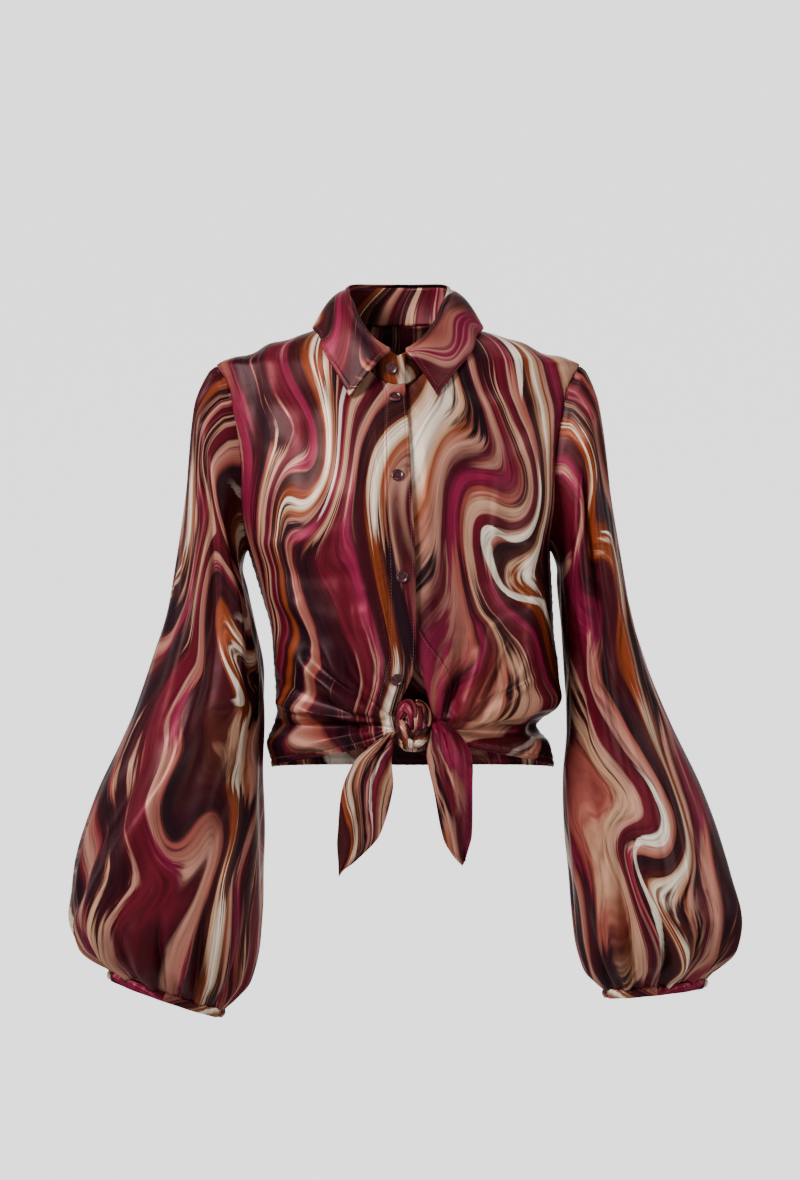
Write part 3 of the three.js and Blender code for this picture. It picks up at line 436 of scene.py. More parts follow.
class Paint:
    """One material: its nodes are made by add, which sets a node's own settings, then its sockets."""

    def __init__(self, name):
        self.material = bpy.data.materials.new(name)
        self.material.use_nodes = True
        self.tree = self.material.node_tree
        self.tree.nodes.clear()
        self.surface = self.tree.nodes.new("ShaderNodeBsdfPrincipled")
        output = self.tree.nodes.new("ShaderNodeOutputMaterial")
        self.tree.links.new(self.surface.outputs[0], output.inputs["Surface"])

    def fill(self, socket, value):
        """A link for an expression, or a plain value."""
        if isinstance(value, Link):
            self.tree.links.new(value.socket, socket)
        else:
            socket.default_value = value

    def set(self, **sockets):
        """The shader's own sockets by their names."""
        for name, value in sockets.items():
            self.fill(self.surface.inputs[name], value)

    def add(self, kind, sockets=(), out=0, stops=(), **settings):
        """A node of a type, with its settings, a ramp's stops, then its sockets' values or links."""
        node = self.tree.nodes.new(kind)
        for name, value in settings.items():
            setattr(node, name, value)
        for k, (place, colour) in enumerate(stops):
            elements = node.color_ramp.elements
            stop = elements[k] if k < 2 else elements.new(place)
            stop.position, stop.color = place, colour
        for name, value in dict(sockets).items():
            self.fill(node.inputs[name], value)
        return Link(self, node.outputs[out])

    def vector(self, operation, *values, out=0):
        """Vector maths on the values."""
        sockets = dict(enumerate(values))
        return self.add("ShaderNodeVectorMath", sockets, out=out, operation=operation)

    def combine(self, x, y, z=0.0):
        """A vector from its three numbers."""
        return self.add("ShaderNodeCombineXYZ", {0: x, 1: y, 2: z})

    def split(self, place):
        """x and y of a vector."""
        x = self.add("ShaderNodeSeparateXYZ", {0: place})
        return x, Link(self, x.socket.node.outputs[1])

    def place(self):
        """The place on the object, in metres."""
        return self.add("ShaderNodeTexCoord", out=3)

    def noise(self, place, scale, detail=2.0, rough=0.5, out=0):
        """Smooth noise of a scale, with detail octaves over it."""
        sockets = {"Vector": place, "Scale": scale, "Detail": detail, "Roughness": rough}
        return self.add("ShaderNodeTexNoise", sockets, out=out)

    def blend(self, a, b, share, how="MIX"):
        """Two colours mixed by a share."""
        sockets = {6: a, 7: b, 0: share}
        return self.add("ShaderNodeMix", sockets, out=2, data_type="RGBA", blend_type=how)


def colour(code):
    """A colour code as written in a paint box, turned into the linear numbers that light adds in."""
    parts = np.array([int(code[i : i + 2], 16) for i in (0, 2, 4)]) / 255
    return (*np.where(parts < 0.04045, parts / 12.92, ((parts + 0.055) / 1.055) ** 2.4), 1.0)


PLUM, WINE, BURGUNDY = colour("1e0714"), colour("5e0f20"), colour("3d0815")
RASPBERRY, RUST, TAN = colour("7c1638"), colour("7d3519"), colour("bd8f70")
CREAM, ROSE, BROWN = colour("efdfca"), colour("8e463c"), colour("451812")
BLUSH = colour("b47e6c")

# %% [markdown]
# ## The marbled satin
# To paint ribbons, one field of numbers is laid over the cloth and its level lines are coloured
# like bands. Pushing the places about with noise before reading the field makes the bands wander,
# and turning them round scattered centres makes some of them curl. Noise that is very long one way
# lies along the bands like the hairs of a brush: it frays their edges and weaves two palettes
# together.

# %% Marbled satin
RIBBONS = 5.8  # to a metre of cloth
CURLS = np.array([5.1, 3.3])  # cells to a metre, each turned about its middle
DARK = [
    (0.00, PLUM), (0.15, BURGUNDY), (0.18, WINE), (0.30, WINE), (0.33, RASPBERRY), (0.38, RASPBERRY),
    (0.41, BURGUNDY), (0.51, BURGUNDY), (0.54, RUST), (0.63, RUST), (0.66, BROWN), (0.71, PLUM),
    (0.80, PLUM), (0.83, WINE), (0.86, BLUSH), (0.92, ROSE), (0.94, BURGUNDY), (1.0, PLUM),
]
LIGHT = [
    (0.00, WINE), (0.06, ROSE), (0.08, TAN), (0.19, BLUSH), (0.21, WINE), (0.31, BURGUNDY),
    (0.34, BLUSH), (0.42, ROSE), (0.44, PLUM), (0.54, BROWN), (0.57, TAN), (0.64, CREAM),
    (0.70, TAN), (0.73, RUST), (0.80, BLUSH), (0.83, BURGUNDY), (0.94, RASPBERRY), (1.0, WINE),
]


def marbled(name):
    """Field = x times the number of ribbons to a metre + wandering noise, read through two ramps that
    are woven together by long thin noise. Cream strokes lie where a second field is near a half."""
    paint = Paint(name)
    place = paint.add("ShaderNodeUVMap", uv_map="cut")
    drift = paint.noise(paint.vector("MULTIPLY", place, (4.4, 2.2, 1.0)), 1.0, 1.0, 0.45, out=1)
    drift = paint.vector("SUBTRACT", drift, (0.5, 0.5, 0.5))
    moved = paint.vector("MULTIPLY_ADD", drift, (0.17, 0.16, 0.0), place)
    # curls: each cell of a wide lattice is turned about its middle, less and less towards its edge
    cell = paint.vector("MULTIPLY", moved, (*CURLS, 0.0))
    inside = paint.vector("SUBTRACT", paint.vector("FRACTION", cell), (0.5, 0.5, 0.0))
    reach = paint.vector("LENGTH", inside, out=1)
    turn = (1.0 - reach * 2.1).between(0.0, 1.0) * (paint.noise(place, 2.7, 0.0) - 0.5) * 10.0
    sockets = {"Vector": inside, "Angle": turn}
    turned = paint.add("ShaderNodeVectorRotate", sockets, rotation_type="Z_AXIS")
    curl = paint.vector("MULTIPLY", paint.vector("SUBTRACT", turned, inside), (*1 / CURLS, 0.0))
    moved = paint.vector("ADD", moved, curl)
    across, along = paint.split(moved)
    wander = paint.noise(paint.vector("MULTIPLY", moved, (5.2, 1.7, 1.0)), 1.0, 1.2, 0.4)
    field = across * RIBBONS + wander * 2.3
    # long thin noise along the ribbons, fine like hairs and broad like a brush
    hairs = paint.noise(paint.combine(field * 38.0, along * 9.0), 1.0, 3.0, 0.65)
    broad = paint.noise(paint.combine(field * 13.0, along * 5.0, 3.0), 1.0, 1.0)
    level = (field + (hairs - 0.5) * 0.07 + (broad - 0.5) * 0.14).part()
    deep, pale = (
        paint.add("ShaderNodeValToRGB", {"Fac": level}, stops=stops) for stops in (DARK, LIGHT)
    )
    areas = paint.noise(moved, 5.2, 1.0)
    woven = (areas + (hairs - 0.5) * 0.5 + (broad - 0.5) * 0.55).between(0.46, 0.56)
    ground = paint.blend(deep, pale, woven)
    # cream strokes that swell and fade
    second = (field * 0.8 + areas * 0.8 + 0.31).part()
    swell = paint.noise(paint.vector("MULTIPLY", moved, (4.0, 5.5, 1.0)), 1.0, 1.0)
    swell = swell.between(0.47, 0.72)
    stroke = (second - 0.5).size() + (hairs - 0.5) * 0.03
    stroke = 1.0 - (stroke / (swell * 0.055 + 0.0001)).between(0.7, 1.1)
    ground = paint.blend(ground, CREAM, stroke * swell.between(0.12, 0.4) * 0.9)
    shade = paint.blend(colour("6e6262"), colour("ffffff"), hairs.between(0.28, 0.6))
    # the weave's fine diagonal and the cloth's slight crush
    sockets = {"Vector": place, "Scale": 520.0, "Detail": 0.0}
    bands = {"wave_type": "BANDS", "bands_direction": "DIAGONAL"}
    weave = paint.add("ShaderNodeTexWave", sockets, out=1, **bands)
    crush = paint.noise(paint.place(), 42.0, 1.5, 0.6)
    sockets = {"Strength": 0.4, "Distance": 0.0018, "Height": crush + weave * 0.02}
    paint.set(**{
        "Base Color": paint.blend(ground, shade, 0.7, "MULTIPLY"),
        "Roughness": 0.4 + hairs * 0.1,
        "Normal": paint.add("ShaderNodeBump", sockets),
        "Metallic": 0.26,
        "Specular IOR Level": 0.2,
        "Specular Tint": (1.0, 0.74, 0.66, 1.0),
    })
    return paint.material


SATIN = marbled("marbled_satin")
print("nodes in the satin:", len(SATIN.node_tree.nodes))

# %% [markdown]
# ## Fronts
# Each front runs from the button edge round to the side seam, and from the hem up to the neck and
# the shoulder. Its four edges are known curves on the body, and the rest is filled between them.
# The two first columns keep to the button band, so the band can lie exactly on them.

# %% Edges of the fronts
PLACKET_LINE = table("z x", [(-400, 4), (-340, 4.5), (-243, 4), (-147, -0.5), (-54, -6)])
PLACKET_WIDTH = 27
RIGHT_OPENING = table("z x", [(-374, -2.8), (-362, 3), (-340, 13), (-318, 18), (-290, 18)])
LEFT_OPENING = table(
    "z x", [(-372, 32.2), (-355, 28), (-338, 23), (-322, 15), (-305, 2), (-285, -7), (-260, -10)]
)
# the fronts are set out in steps from hem to shoulder and from button edge to side seam
UP_STEPS, UNDERARM_STEP = 28, 16
ACROSS_STEPS, BAND_STEPS, NECK_STEPS = 16, 2, 10
UNDERARM_SHARE, BAND_SHARE = UNDERARM_STEP / UP_STEPS, BAND_STEPS / ACROSS_STEPS
FRONT_EDGES = table("share inner side", [
    (0, -398, HEM_SIDE_Z), (0.13, -387, -394), (0.27, -374, -338),
    (UNDERARM_SHARE, -250, UNDERARM_Z), (1, -53, SHOULDER_Z),
])
BAND_NECK = {"right": (-6, 5, 15.6, 20), "left": (-15.6, -5, 6, 20)}
SIDE = {"right": -1, "left": 1}


def placket_middle(z):
    """The button line leans a little on its way down."""
    return read(PLACKET_LINE, "z", z, "x")


def front_angle(x, z):
    """The angle at which the front of the body has a given x."""
    n, front = read(BODY, "z", z, "round"), read(BODY, "z", z, "front")
    share = np.minimum(1, np.abs(x - centre(z)) / half_width(z))
    return np.arctan2(x - centre(z), front * (1 - share**n) ** (1 / n))


def front_edge(side, z):
    """x of a front's inner edge: half a band from the button line, then towards the knot."""
    opening = RIGHT_OPENING if side < 0 else LEFT_OPENING
    upper = placket_middle(z) - side * 0.5 * PLACKET_WIDTH
    return mix(read(opening, "z", z, "x"), upper, smooth(-300, -255, z))


def front_top(name, column):
    """Neckline by angle from the band's own stops to 90 degrees, then the shoulder seam by height."""
    stops = [*BAND_NECK[name], *range(30, 91, 10)]
    angle = np.radians(np.interp(column, np.arange(len(stops)), stops))
    out = np.clip((column - NECK_STEPS) / (ACROSS_STEPS - NECK_STEPS), 0, 1)
    return angle, np.where(out > 0, mix(NECK_TOP, SHOULDER_Z, out), neckline(angle))


def front_place(name, across, up):
    """Angle and height: on the band, a fixed distance from its edge; beyond it, straight lines from the
    band to the side, plus what the hem and the neck stand off such lines."""
    side = SIDE[name]

    def on_band(share, v):
        level = read(FRONT_EDGES, "share", v, "inner")
        top_angle, top_z = front_top(name, share * BAND_STEPS)
        wide = mix(9, PLACKET_WIDTH, smooth(-392, -345, level))
        x = front_edge(side, level) + side * wide * share
        angle = mix(side * front_angle(x, level), top_angle, smooth(0.9, 1, v))
        return angle, mix(level, top_z, smooth(0.75, 1, v))

    def at_side(v):
        above = 1 - (1 - v) * UP_STEPS / (UP_STEPS - UNDERARM_STEP)
        arm = armhole(np.clip(above, 0, 1), ARMHOLE_FRONT)
        low, seam = v < UNDERARM_SHARE, read(FRONT_EDGES, "share", v, "side")
        return np.where(low, QUARTER, arm[0]), np.where(low, seam, arm[1])

    band = on_band(np.clip(across / BAND_SHARE, 0, 1), up)
    s = np.clip((across - BAND_SHARE) / (1 - BAND_SHARE), 0, 1)
    one, none = np.ones_like(s), np.zeros_like(s)
    left, right = on_band(one, up), at_side(up)
    top = front_top(name, mix(BAND_STEPS, ACROSS_STEPS, s))
    left_top, right_top = on_band(one, one), at_side(one)
    left_low, right_low = on_band(one, none)[1], at_side(none)[1]
    rise = np.clip((up - UNDERARM_SHARE) / (1 - UNDERARM_SHARE), 0, 1) ** 2
    angle, z = (
        mix(left[k], right[k], s) + rise * (top[k] - mix(left_top[k], right_top[k], s))
        for k in (0, 1)
    )
    z = z + (1 - up) * (mix(left_low, right_low, s**0.65) - mix(left_low, right_low, s))
    on = across < BAND_SHARE
    return np.where(on, band[0], angle), np.where(on, band[1], z)


def front_points(name, across, up, lift=0.0):
    """The body's skin at a front's places. The left front passes inside the right one."""
    angle, z = front_place(name, across, up)
    points = body_skin(SIDE[name] * angle, z, lift)
    if name == "right":
        return points
    lapped = 1 - smooth(16, 30, points[..., 0] - placket_middle(z))
    return points - body_normal(angle, z) * (3.4 * lapped)[..., None]


def front_cut(name, across, up):
    """Each place on the flat cloth, in metres: its distance from the inner edge and its height, both
    taken on the form without folds. The bands use it too, so the print runs on across them."""
    side = SIDE[name]
    angle, z = front_place(name, across, up)
    run = lengths(body_form(side * angle, z), 1)
    start = front_edge(side, -200.0) + (0 if side < 0 else 1980)
    return np.stack([(start + side * run) * MM, z * MM], -1)


# %% [markdown]
# ### Seams and hems
# Where two panels are sewn together the cloth dips a little on both sides of the seam, and a
# narrow hem is a raised line with a row of stitches. Both are small offsets along the sheet's
# normals.

# %% Seams, hems and waves
def dip(distance, width=2.0, depth=0.6):
    """A trough of bell shape beside a seam."""
    return -depth * np.exp(-((distance / width) ** 2))


def pucker(distance, along, reach=9.0, height=0.45):
    """Little uneven waves along a seam, where the thread has drawn the cloth in."""
    wave = np.sin(along * 0.62 + 1.7 * np.sin(along * 0.17)) + 0.5 * np.sin(along * 1.13 + 2)
    return height * wave * smooth(0, 2.5, distance) * np.exp(-((distance / reach) ** 2))


def drape(x, z):
    """Slow waves that hang down the cloth: two sines across it whose phase sways with height."""
    slow = 1.5 * np.sin(x / 8.6 + 1.3 * np.sin(z / 61) + 0.6)
    return slow * np.sin(z / 83 + x / 130) + 0.6 * np.sin(x / 5.1 + 1.1 * np.sin(z / 37) + 2)


def narrow_hem(distance, width=6.0, height=0.5):
    """A raised band of a hem's width that ends in a dent along its stitches."""
    band = height * (1 - smooth(width - 1.5, width + 0.5, distance))
    return band - 0.5 * np.exp(-(((distance - width) / 1.1) ** 2))


# %% Fronts
def finish_piece(obj, *nodes, slot="printed_satin", material=SATIN):
    """Every piece rides on the one body, stands for its solids and has a finish of its own."""
    obj.data.materials.append(material)
    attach(obj, "root")
    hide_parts(*nodes)


def tell(obj, area):
    """What a sheet came to."""
    print(obj.name, "cloth", round(area, 4), "m2,", len(obj.data.polygons), "faces")


AHEAD = np.array([0, -1.0, 0])
HEM = 6.0  # the hem's width, where its stitches run


def panel_relief(points, from_side):
    """What every body panel has: dips and puckers by its seams, and the hem's raised band."""
    run, rise = lengths(points, 1), lengths(points, 0)
    relief = dip(from_side) + dip(rise[-1:] - rise) + narrow_hem(rise, HEM)
    return relief + pucker(from_side, rise) + pucker(rise, run, 12, 0.5)


def front(name, rows=200, columns=120):
    """A fine grid over the panel, with its folds, then seams and hem worked into it."""
    up, across = grid(np.linspace(0, 1, rows) ** 1.2, np.linspace(0, 1, columns))
    points = front_points(name, across, up)
    run, rise = lengths(points, 1), lengths(points, 0)
    from_side = run[:, -1:] - run
    relief = panel_relief(points, from_side)
    relief += pucker(np.abs(run - PLACKET_WIDTH - 3), rise, 7, 0.35)
    inside = smooth(4, 30, from_side) * smooth(4, 30, rise) * smooth(30, 45, run)
    relief += drape(points[..., 0], points[..., 2]) * inside
    points = points + normals_towards(points, AHEAD) * relief[..., None]
    obj = shell(f"front_{name}_cloth", points, front_cut(name, across, up))
    finish_piece(obj, f"front_{name}")
    area = spread(points)
    tell(obj, area)
    return points


FRONTS = {name: front(name) for name in ("right", "left")}

# %% [markdown]
# ## Back
# One panel, cut on the fold. The tie draws it in at the waist, so it blouses above the hem all
# round.

# %% Back
def back_points(across, up):
    """As a front, between the centre back line, the side seams, the hem, and neck and shoulders."""
    s = np.abs(across)
    arm = armhole(np.clip(2 * up - 1, 0, 1), -ARMHOLE_BACK)
    low, seam = up < 0.5, mix(HEM_SIDE_Z, UNDERARM_Z, up * 2)
    right = np.where(low, QUARTER, arm[0]), np.where(low, seam, arm[1])
    left = np.pi, mix(HEM_SIDE_Z - 2, NECK_TOP, up)
    # nine steps of 10 degrees round the neck, then four along the shoulder
    step = s * 13
    out = np.clip((step - 9) / 4, 0, 1)
    top = np.maximum(np.pi - np.radians(step * 10), QUARTER), mix(NECK_TOP, SHOULDER_Z, out)
    rise = np.clip((up - 0.5) * 2, 0, 1) ** 2
    angle = mix(left[0], right[0], s) + rise * (top[0] - mix(np.pi, QUARTER, s))
    z = mix(left[1], right[1], s) + rise * (top[1] - mix(NECK_TOP, SHOULDER_Z, s))
    return body_skin(np.where(across < 0, -1, 1) * angle, z)


def back(rows=170, columns=161):
    """A fine grid over the back with its seams and hem."""
    up, across = grid(np.linspace(0, 1, rows) ** 1.15, np.linspace(-1, 1, columns))
    points = back_points(across, up)
    run = lengths(points, 1)
    edge = np.minimum(run, run[:, -1:] - run)
    relief = panel_relief(points, edge)
    relief += drape(points[..., 0], points[..., 2]) * smooth(4, 30, edge)
    middle = columns // 2
    cut = np.stack([(run - run[:, middle : middle + 1]) * MM + 5.0, points[..., 2] * MM], -1)
    points = points + normals_towards(points, -AHEAD) * relief[..., None]
    obj = shell("back_cloth", points, cut)
    finish_piece(obj, "back")
    area = spread(points)
    tell(obj, area)
    return points


BACK = back()

# %% [markdown]
# ## Sleeves
# A balloon sleeve is cut much wider than the wrist and gathered into a narrow elastic casing. Each
# is a tube of rounded rings along the arm. Its rings start on the armhole seam and end on the
# cuff, and its folds wind round it as they go down.

# %% Sleeve tables
RING = "share outX outZ inX inZ front back y"
SLEEVES = {
    "right": table(RING, [
        (0.06, -195, -43, -155, -223, 56, 53, 0), (0.13, -203, -70, -156, -236, 60, 57, 0),
        (0.22, -208, -118, -151, -258, 61, 58, 0), (0.32, -214, -182, -142, -295, 62, 60, -2),
        (0.42, -226, -257, -135, -340, 65, 64, -5), (0.52, -246, -327, -134, -390, 70, 70, -8),
        (0.62, -274, -400, -135, -440, 76, 77, -11), (0.72, -303, -465, -134, -495, 82, 83, -13),
        (0.82, -323, -533, -135, -550, 86, 86, -14), (0.89, -327, -575, -140, -600, 83, 83, -15),
        (0.95, -315, -606, -152, -642, 66, 66, -15), (1, -286, -633, -173, -672, 38, 38, -15),
    ]),
    "left": table(RING, [
        (0.06, 193, -42, 157, -223, 57, 53, 0), (0.13, 200, -68, 160, -236, 61, 57, 0),
        (0.22, 207, -116, 161, -258, 62, 58, 0), (0.32, 215, -182, 164, -297, 63, 60, -2),
        (0.42, 228, -257, 168, -345, 65, 63, -5), (0.52, 246, -325, 169, -392, 69, 67, -8),
        (0.62, 276, -395, 165, -440, 74, 73, -11), (0.72, 306, -460, 167, -492, 79, 78, -13),
        (0.82, 330, -530, 172, -548, 82, 81, -14), (0.89, 339, -575, 179, -596, 79, 79, -15),
        (0.95, 333, -608, 191, -630, 63, 63, -15), (1, 306, -641, 205, -652, 37, 37, -15),
    ]),
}
SLEEVE_FOLD = "angle turn start end width height"
SLEEVE_FOLDS = {
    "right": table(SLEEVE_FOLD, [
        (34, -8, 0.1, 0.72, 15, 5), (8, -18, 0.15, 0.66, 16, -5), (-34, 12, 0.2, 0.8, 15, 4),
        (-12, 62, 0.5, 0.98, 13, 6), (20, 62, 0.56, 0.97, 12, -6), (-44, 50, 0.6, 1, 13, -5),
        (150, 20, 0.15, 0.8, 17, 5), (190, -14, 0.2, 0.9, 17, -5), (225, 10, 0.3, 0.95, 16, 5),
        (52, -6, 0.03, 0.5, 9, 2.4), (20, 4, 0.04, 0.42, 8, -2.2), (-8, 30, 0.3, 0.8, 8, 2.4),
        (6, 60, 0.62, 0.99, 7, 3), (44, 40, 0.66, 0.99, 7, -2.6), (-34, 44, 0.68, 1, 7, 2.6),
        (-60, 6, 0.4, 0.92, 9, 2.4), (84, -8, 0.5, 0.98, 10, -2.2), (112, 14, 0.2, 0.7, 9, 2.2),
        (132, -10, 0.5, 0.98, 12, -4.5), (168, 20, 0.55, 1, 12, 4.5), (208, -24, 0.5, 0.98, 12, -4.5),
    ]),
    "left": table(SLEEVE_FOLD, [
        (30, 6, 0.04, 0.62, 13, 5), (6, 4, 0.05, 0.55, 11, -5), (-16, 10, 0.1, 0.7, 13, 5),
        (-44, 8, 0.2, 0.86, 13, -4), (16, -16, 0.55, 0.98, 13, 6), (48, -8, 0.5, 0.98, 13, -5),
        (-14, -18, 0.62, 1, 12, -6), (150, 20, 0.15, 0.8, 17, 5), (190, -14, 0.2, 0.9, 17, -5),
        (225, 10, 0.3, 0.95, 16, 5), (56, -4, 0.03, 0.45, 8, 2.4), (18, 0, 0.03, 0.4, 7, 2.4),
        (-4, 8, 0.3, 0.78, 8, -2.4), (34, -22, 0.6, 0.99, 7, 3), (2, -24, 0.66, 0.99, 7, 2.8),
        (-30, -6, 0.66, 1, 7, 2.6), (-64, 4, 0.4, 0.92, 9, 2.4), (86, 6, 0.5, 0.98, 10, -2.4),
        (128, 12, 0.5, 0.98, 12, -4.5), (172, -18, 0.55, 1, 12, 4.5), (212, 16, 0.5, 0.98, 12, -4.5),
    ]),
}
GATHERS = 12


def at_ring(name, share, column):
    """One column of a sleeve's table."""
    return read(SLEEVES[name], "share", share, column)


def sleeve_ring(name, angle, share):
    """A section with exponent 2.2 between the outer and inner lines, with small waves at the cuff."""
    outer = np.stack([at_ring(name, share, "outX"), 0 * share, at_ring(name, share, "outZ")], -1)
    inner = np.stack([at_ring(name, share, "inX"), 0 * share, at_ring(name, share, "inZ")], -1)
    sine, cosine = np.sin(angle), np.cos(angle)
    fill = (np.abs(sine) ** 2.2 + np.abs(cosine) ** 2.2) ** (-1 / 2.2)
    wave = 1.2 * smooth(0.9, 1, share) * np.cos(GATHERS * angle)
    half = np.linalg.norm(outer - inner, axis=-1) / 2
    depth = np.where(cosine > 0, at_ring(name, share, "front"), at_ring(name, share, "back"))
    points = (outer + inner) / 2 + unit(outer - inner) * ((half * fill + wave) * sine)[..., None]
    points[..., 1] += at_ring(name, share, "y") - (depth * fill + wave) * cosine
    return points


def armhole_seam(name, angle):
    """The armhole's own curve at an angle round the sleeve."""
    turn = (np.arcsin(np.clip(np.sin(angle), -1, 1)) + QUARTER) / np.pi
    front_half, back_half = armhole(turn, ARMHOLE_FRONT), armhole(turn, -ARMHOLE_BACK)
    seam, z = (np.where(np.cos(angle) > 0, *pair) for pair in zip(front_half, back_half))
    return body_form(SIDE[name] * seam, z)


def sleeve_base(name, angle, share):
    """From the armhole, set a little inside the body, to the sleeve's own rings."""
    start = armhole_seam(name, angle)
    hub = np.array([0, 0, (SHOULDER_Z + UNDERARM_Z) / 2])
    inward = unit((hub - start) * (0, 1, 1))
    start = start + inward * 0.6 - np.array([SIDE[name] * 0.8, 0, 0])
    return mix(start, sleeve_ring(name, angle, share), smooth(0, 0.13, share)[..., None])


def sleeve_relief(name, angle, share):
    """Long folds, gathers that deepen towards the cuff, and small pleats on the sleeve's head. A
    gather is |sin|^0.8, so that round puffs stand between sharp creases."""
    degrees = np.degrees(angle)
    height = np.zeros_like(angle)
    for middle, turn, start, end, width, tall in np.stack(list(SLEEVE_FOLDS[name].values()), -1):
        run = np.clip((share - start) / (end - start), 0, 1)
        away = degrees - middle - turn * run
        away -= 360 * np.round(away / 360)
        bell = np.exp(-(np.abs(away / width * 1.35) ** 1.8))
        height += 1.5 * tall * bell * np.sin(np.pi * run)
    begin = 0.79 + 0.05 * np.sin(5 * angle + 0.7)
    swell = smooth(begin, 0.96, share) * (1 - 0.78 * smooth(0.95, 1, share))
    uneven = 1 + 0.3 * np.sin(3 * angle + 1.1) + 0.25 * np.sin(7 * angle)
    puff = np.abs(np.sin((GATHERS * angle + 0.9 * np.sin(2 * angle)) / 2)) ** 0.8
    height += 6.5 * swell * uneven * (2.5 * puff - 1.5)
    fine = smooth(0.84, 0.97, share) * (1 - 0.6 * smooth(0.98, 1, share))
    height += 2.2 * fine * np.cos(2 * GATHERS * angle + 1.3)
    head = smooth(0, 0.03, share) * (1 - smooth(0.05, 0.2, share)) * smooth(0.2, 0.8, np.sin(angle))
    height += head * (1.7 * np.cos(22 * angle) + 0.8 * np.cos(37 * angle + 1))
    slow = np.sin(9 * angle + 3 * np.sin(7 * share) + 1) * np.sin(11 * share)
    slow += 0.6 * np.sin(15 * angle + 9 * share)
    height += 1.3 * slow * smooth(0.05, 0.2, share)
    return height + dip(share * 640, 3.0, 0.5)


# %% Sleeves
def sleeve(name, columns=260):
    """The tube's grid moved out by its relief. Its cut is laid out flat by the tube's own girth."""
    # rows stand closer at the head and near the cuff
    rows = [np.linspace(0, 0.12, 22), np.linspace(0.13, 0.8, 70), np.linspace(0.807, 1, 50)]
    share, angle = grid(np.concatenate(rows), round_angles(columns) - QUARTER)
    base = sleeve_base(name, angle, share)
    middle = base.mean(1, keepdims=True)
    normal = normals_towards(base, base - middle, True)
    points = base + normal * sleeve_relief(name, angle, share)[..., None]
    girth = np.linalg.norm(base - np.roll(base, 1, 1), axis=-1).sum(1)
    girth = np.maximum.accumulate(girth)[:, None]
    flat = np.linspace(-0.5, 0.5, columns + 1) * girth * MM
    down = lengths(base, 0)[:, columns // 2, None] * MM
    cut = np.stack([flat * SIDE[name] + (9.0 + SIDE[name]), -down + 0 * flat], -1)
    obj = shell(f"sleeve_{name}_cloth", points, cut, round_=True, inward=middle - points)
    finish_piece(obj, f"sleeve_{name}")
    area = spread(closed(points))
    tell(obj, area)


for name in SIDE:
    sleeve(name)

# %% [markdown]
# ## Cuffs
# The casing is a folded strip with elastic inside, so it is short, thick and finely ruched.

# %% Cuffs
CUFF_DEPTH = 9.4


def cuff(name, rows=12, columns=300):
    """A band square to the sleeve's last ring: ruched in fine waves, rounded over at its lower edge."""
    down, angle = grid(np.linspace(0, 1, rows), round_angles(columns))
    rim = sleeve_ring(name, angle, np.ones_like(angle))
    ends = sleeve_ring(name, np.array([QUARTER, -QUARTER]), np.ones(2))
    across = unit(ends[0] - ends[1])
    drop = np.array([across[2], 0, -across[0]])
    drop *= -np.sign(drop[2])
    out = unit(rim - ends.mean(0))
    ruche = 0.7 * np.cos(GATHERS * 3 * angle + 0.8 * np.sin(5 * angle)) * np.sin(np.pi * down)
    belly = 1.2 * np.sin(np.pi * down) - 0.6 + ruche
    points = rim + drop * (down * CUFF_DEPTH - 0.4)[..., None] + out * belly[..., None]
    flat, deep = np.linspace(0, 0.5, columns + 1), down[:, :1] * 0.0098 + 13
    cut = np.stack([deep + 0 * flat, flat + 0 * deep], -1)
    inward = ends.mean(0) - points
    obj = shell(f"cuff_{name}_cloth", points, cut, round_=True, thick=1.6, inward=inward)
    finish_piece(obj, f"cuff_{name}")
    area = spread(closed(points))
    print(obj.name, "girth", round(area / (CUFF_DEPTH * MM), 3), "m")


for name in SIDE:
    cuff(name)

# %% [markdown]
# ## Collar
# A shirt collar has two parts: a stand that rises round the neck, and a leaf that rolls over the
# stand's top and falls to the shoulders in two points.

# %% Collar tables
FOLD_LINE = table("angle radius z", [
    (0, 69.5, -25), (19, 68.5, -11), (33, 64.5, 6), (52, 56.5, 28), (90, 49.5, 45), (135, 50, 50),
    (180, 52, 51),
])
BEHIND = [(60, 56, -20), (75, 65, -5), (95, 92, 6), (135, 136, 5), (180, 180, 4)]
LEAF_EDGE = {
    "right": table("angle on z", [(6, 32, -67), (30, 43, -46), *BEHIND]),
    "left": table("angle on z", [(6, 27, -66), (30, 40, -46), *BEHIND]),
}


def fold_line(angle, out):
    """The collar's fold, by angle from the centre front, moved out from the neck."""
    degrees = np.abs((np.degrees(angle) + 180) % 360 - 180)
    radius = read(FOLD_LINE, "angle", degrees, "radius") + out
    z = read(FOLD_LINE, "angle", degrees, "z")
    return np.stack([radius * np.sin(angle), -radius * np.cos(angle), z], -1)


# %% Stand
def stand(rows=16, columns=260):
    """Straight lines from the neck seam to the fold line, a little full between. Its right end laps
    over its left one."""
    up, degrees = grid(np.linspace(0, 1, rows), np.linspace(-6, 375.6, columns))
    angle = -np.radians(degrees)
    inset = 2.6 * smooth(328, 350, degrees)
    out = np.stack([np.sin(angle), -np.cos(angle), 0 * angle], -1)
    base = body_form(angle, neckline(angle)) + out * (-inset - 0.2)[..., None] + (0, 0, 0.1)
    full = out * (1.5 * np.sin(np.pi * up))[..., None]
    points = mix(base, fold_line(angle, -inset), up[..., None]) + full
    cut = np.stack([lengths(points, 1) * MM + 17, lengths(points, 0) * MM], -1)
    obj = shell("collar_stand_cloth", points, cut, thick=1.3, inward=-out)
    finish_piece(obj, "collar_stand")
    area = spread(points)
    tell(obj, area)
    return points


STAND = stand()

# %% Leaf
ROLL = 0.16  # the share of the leaf that rolls over the stand


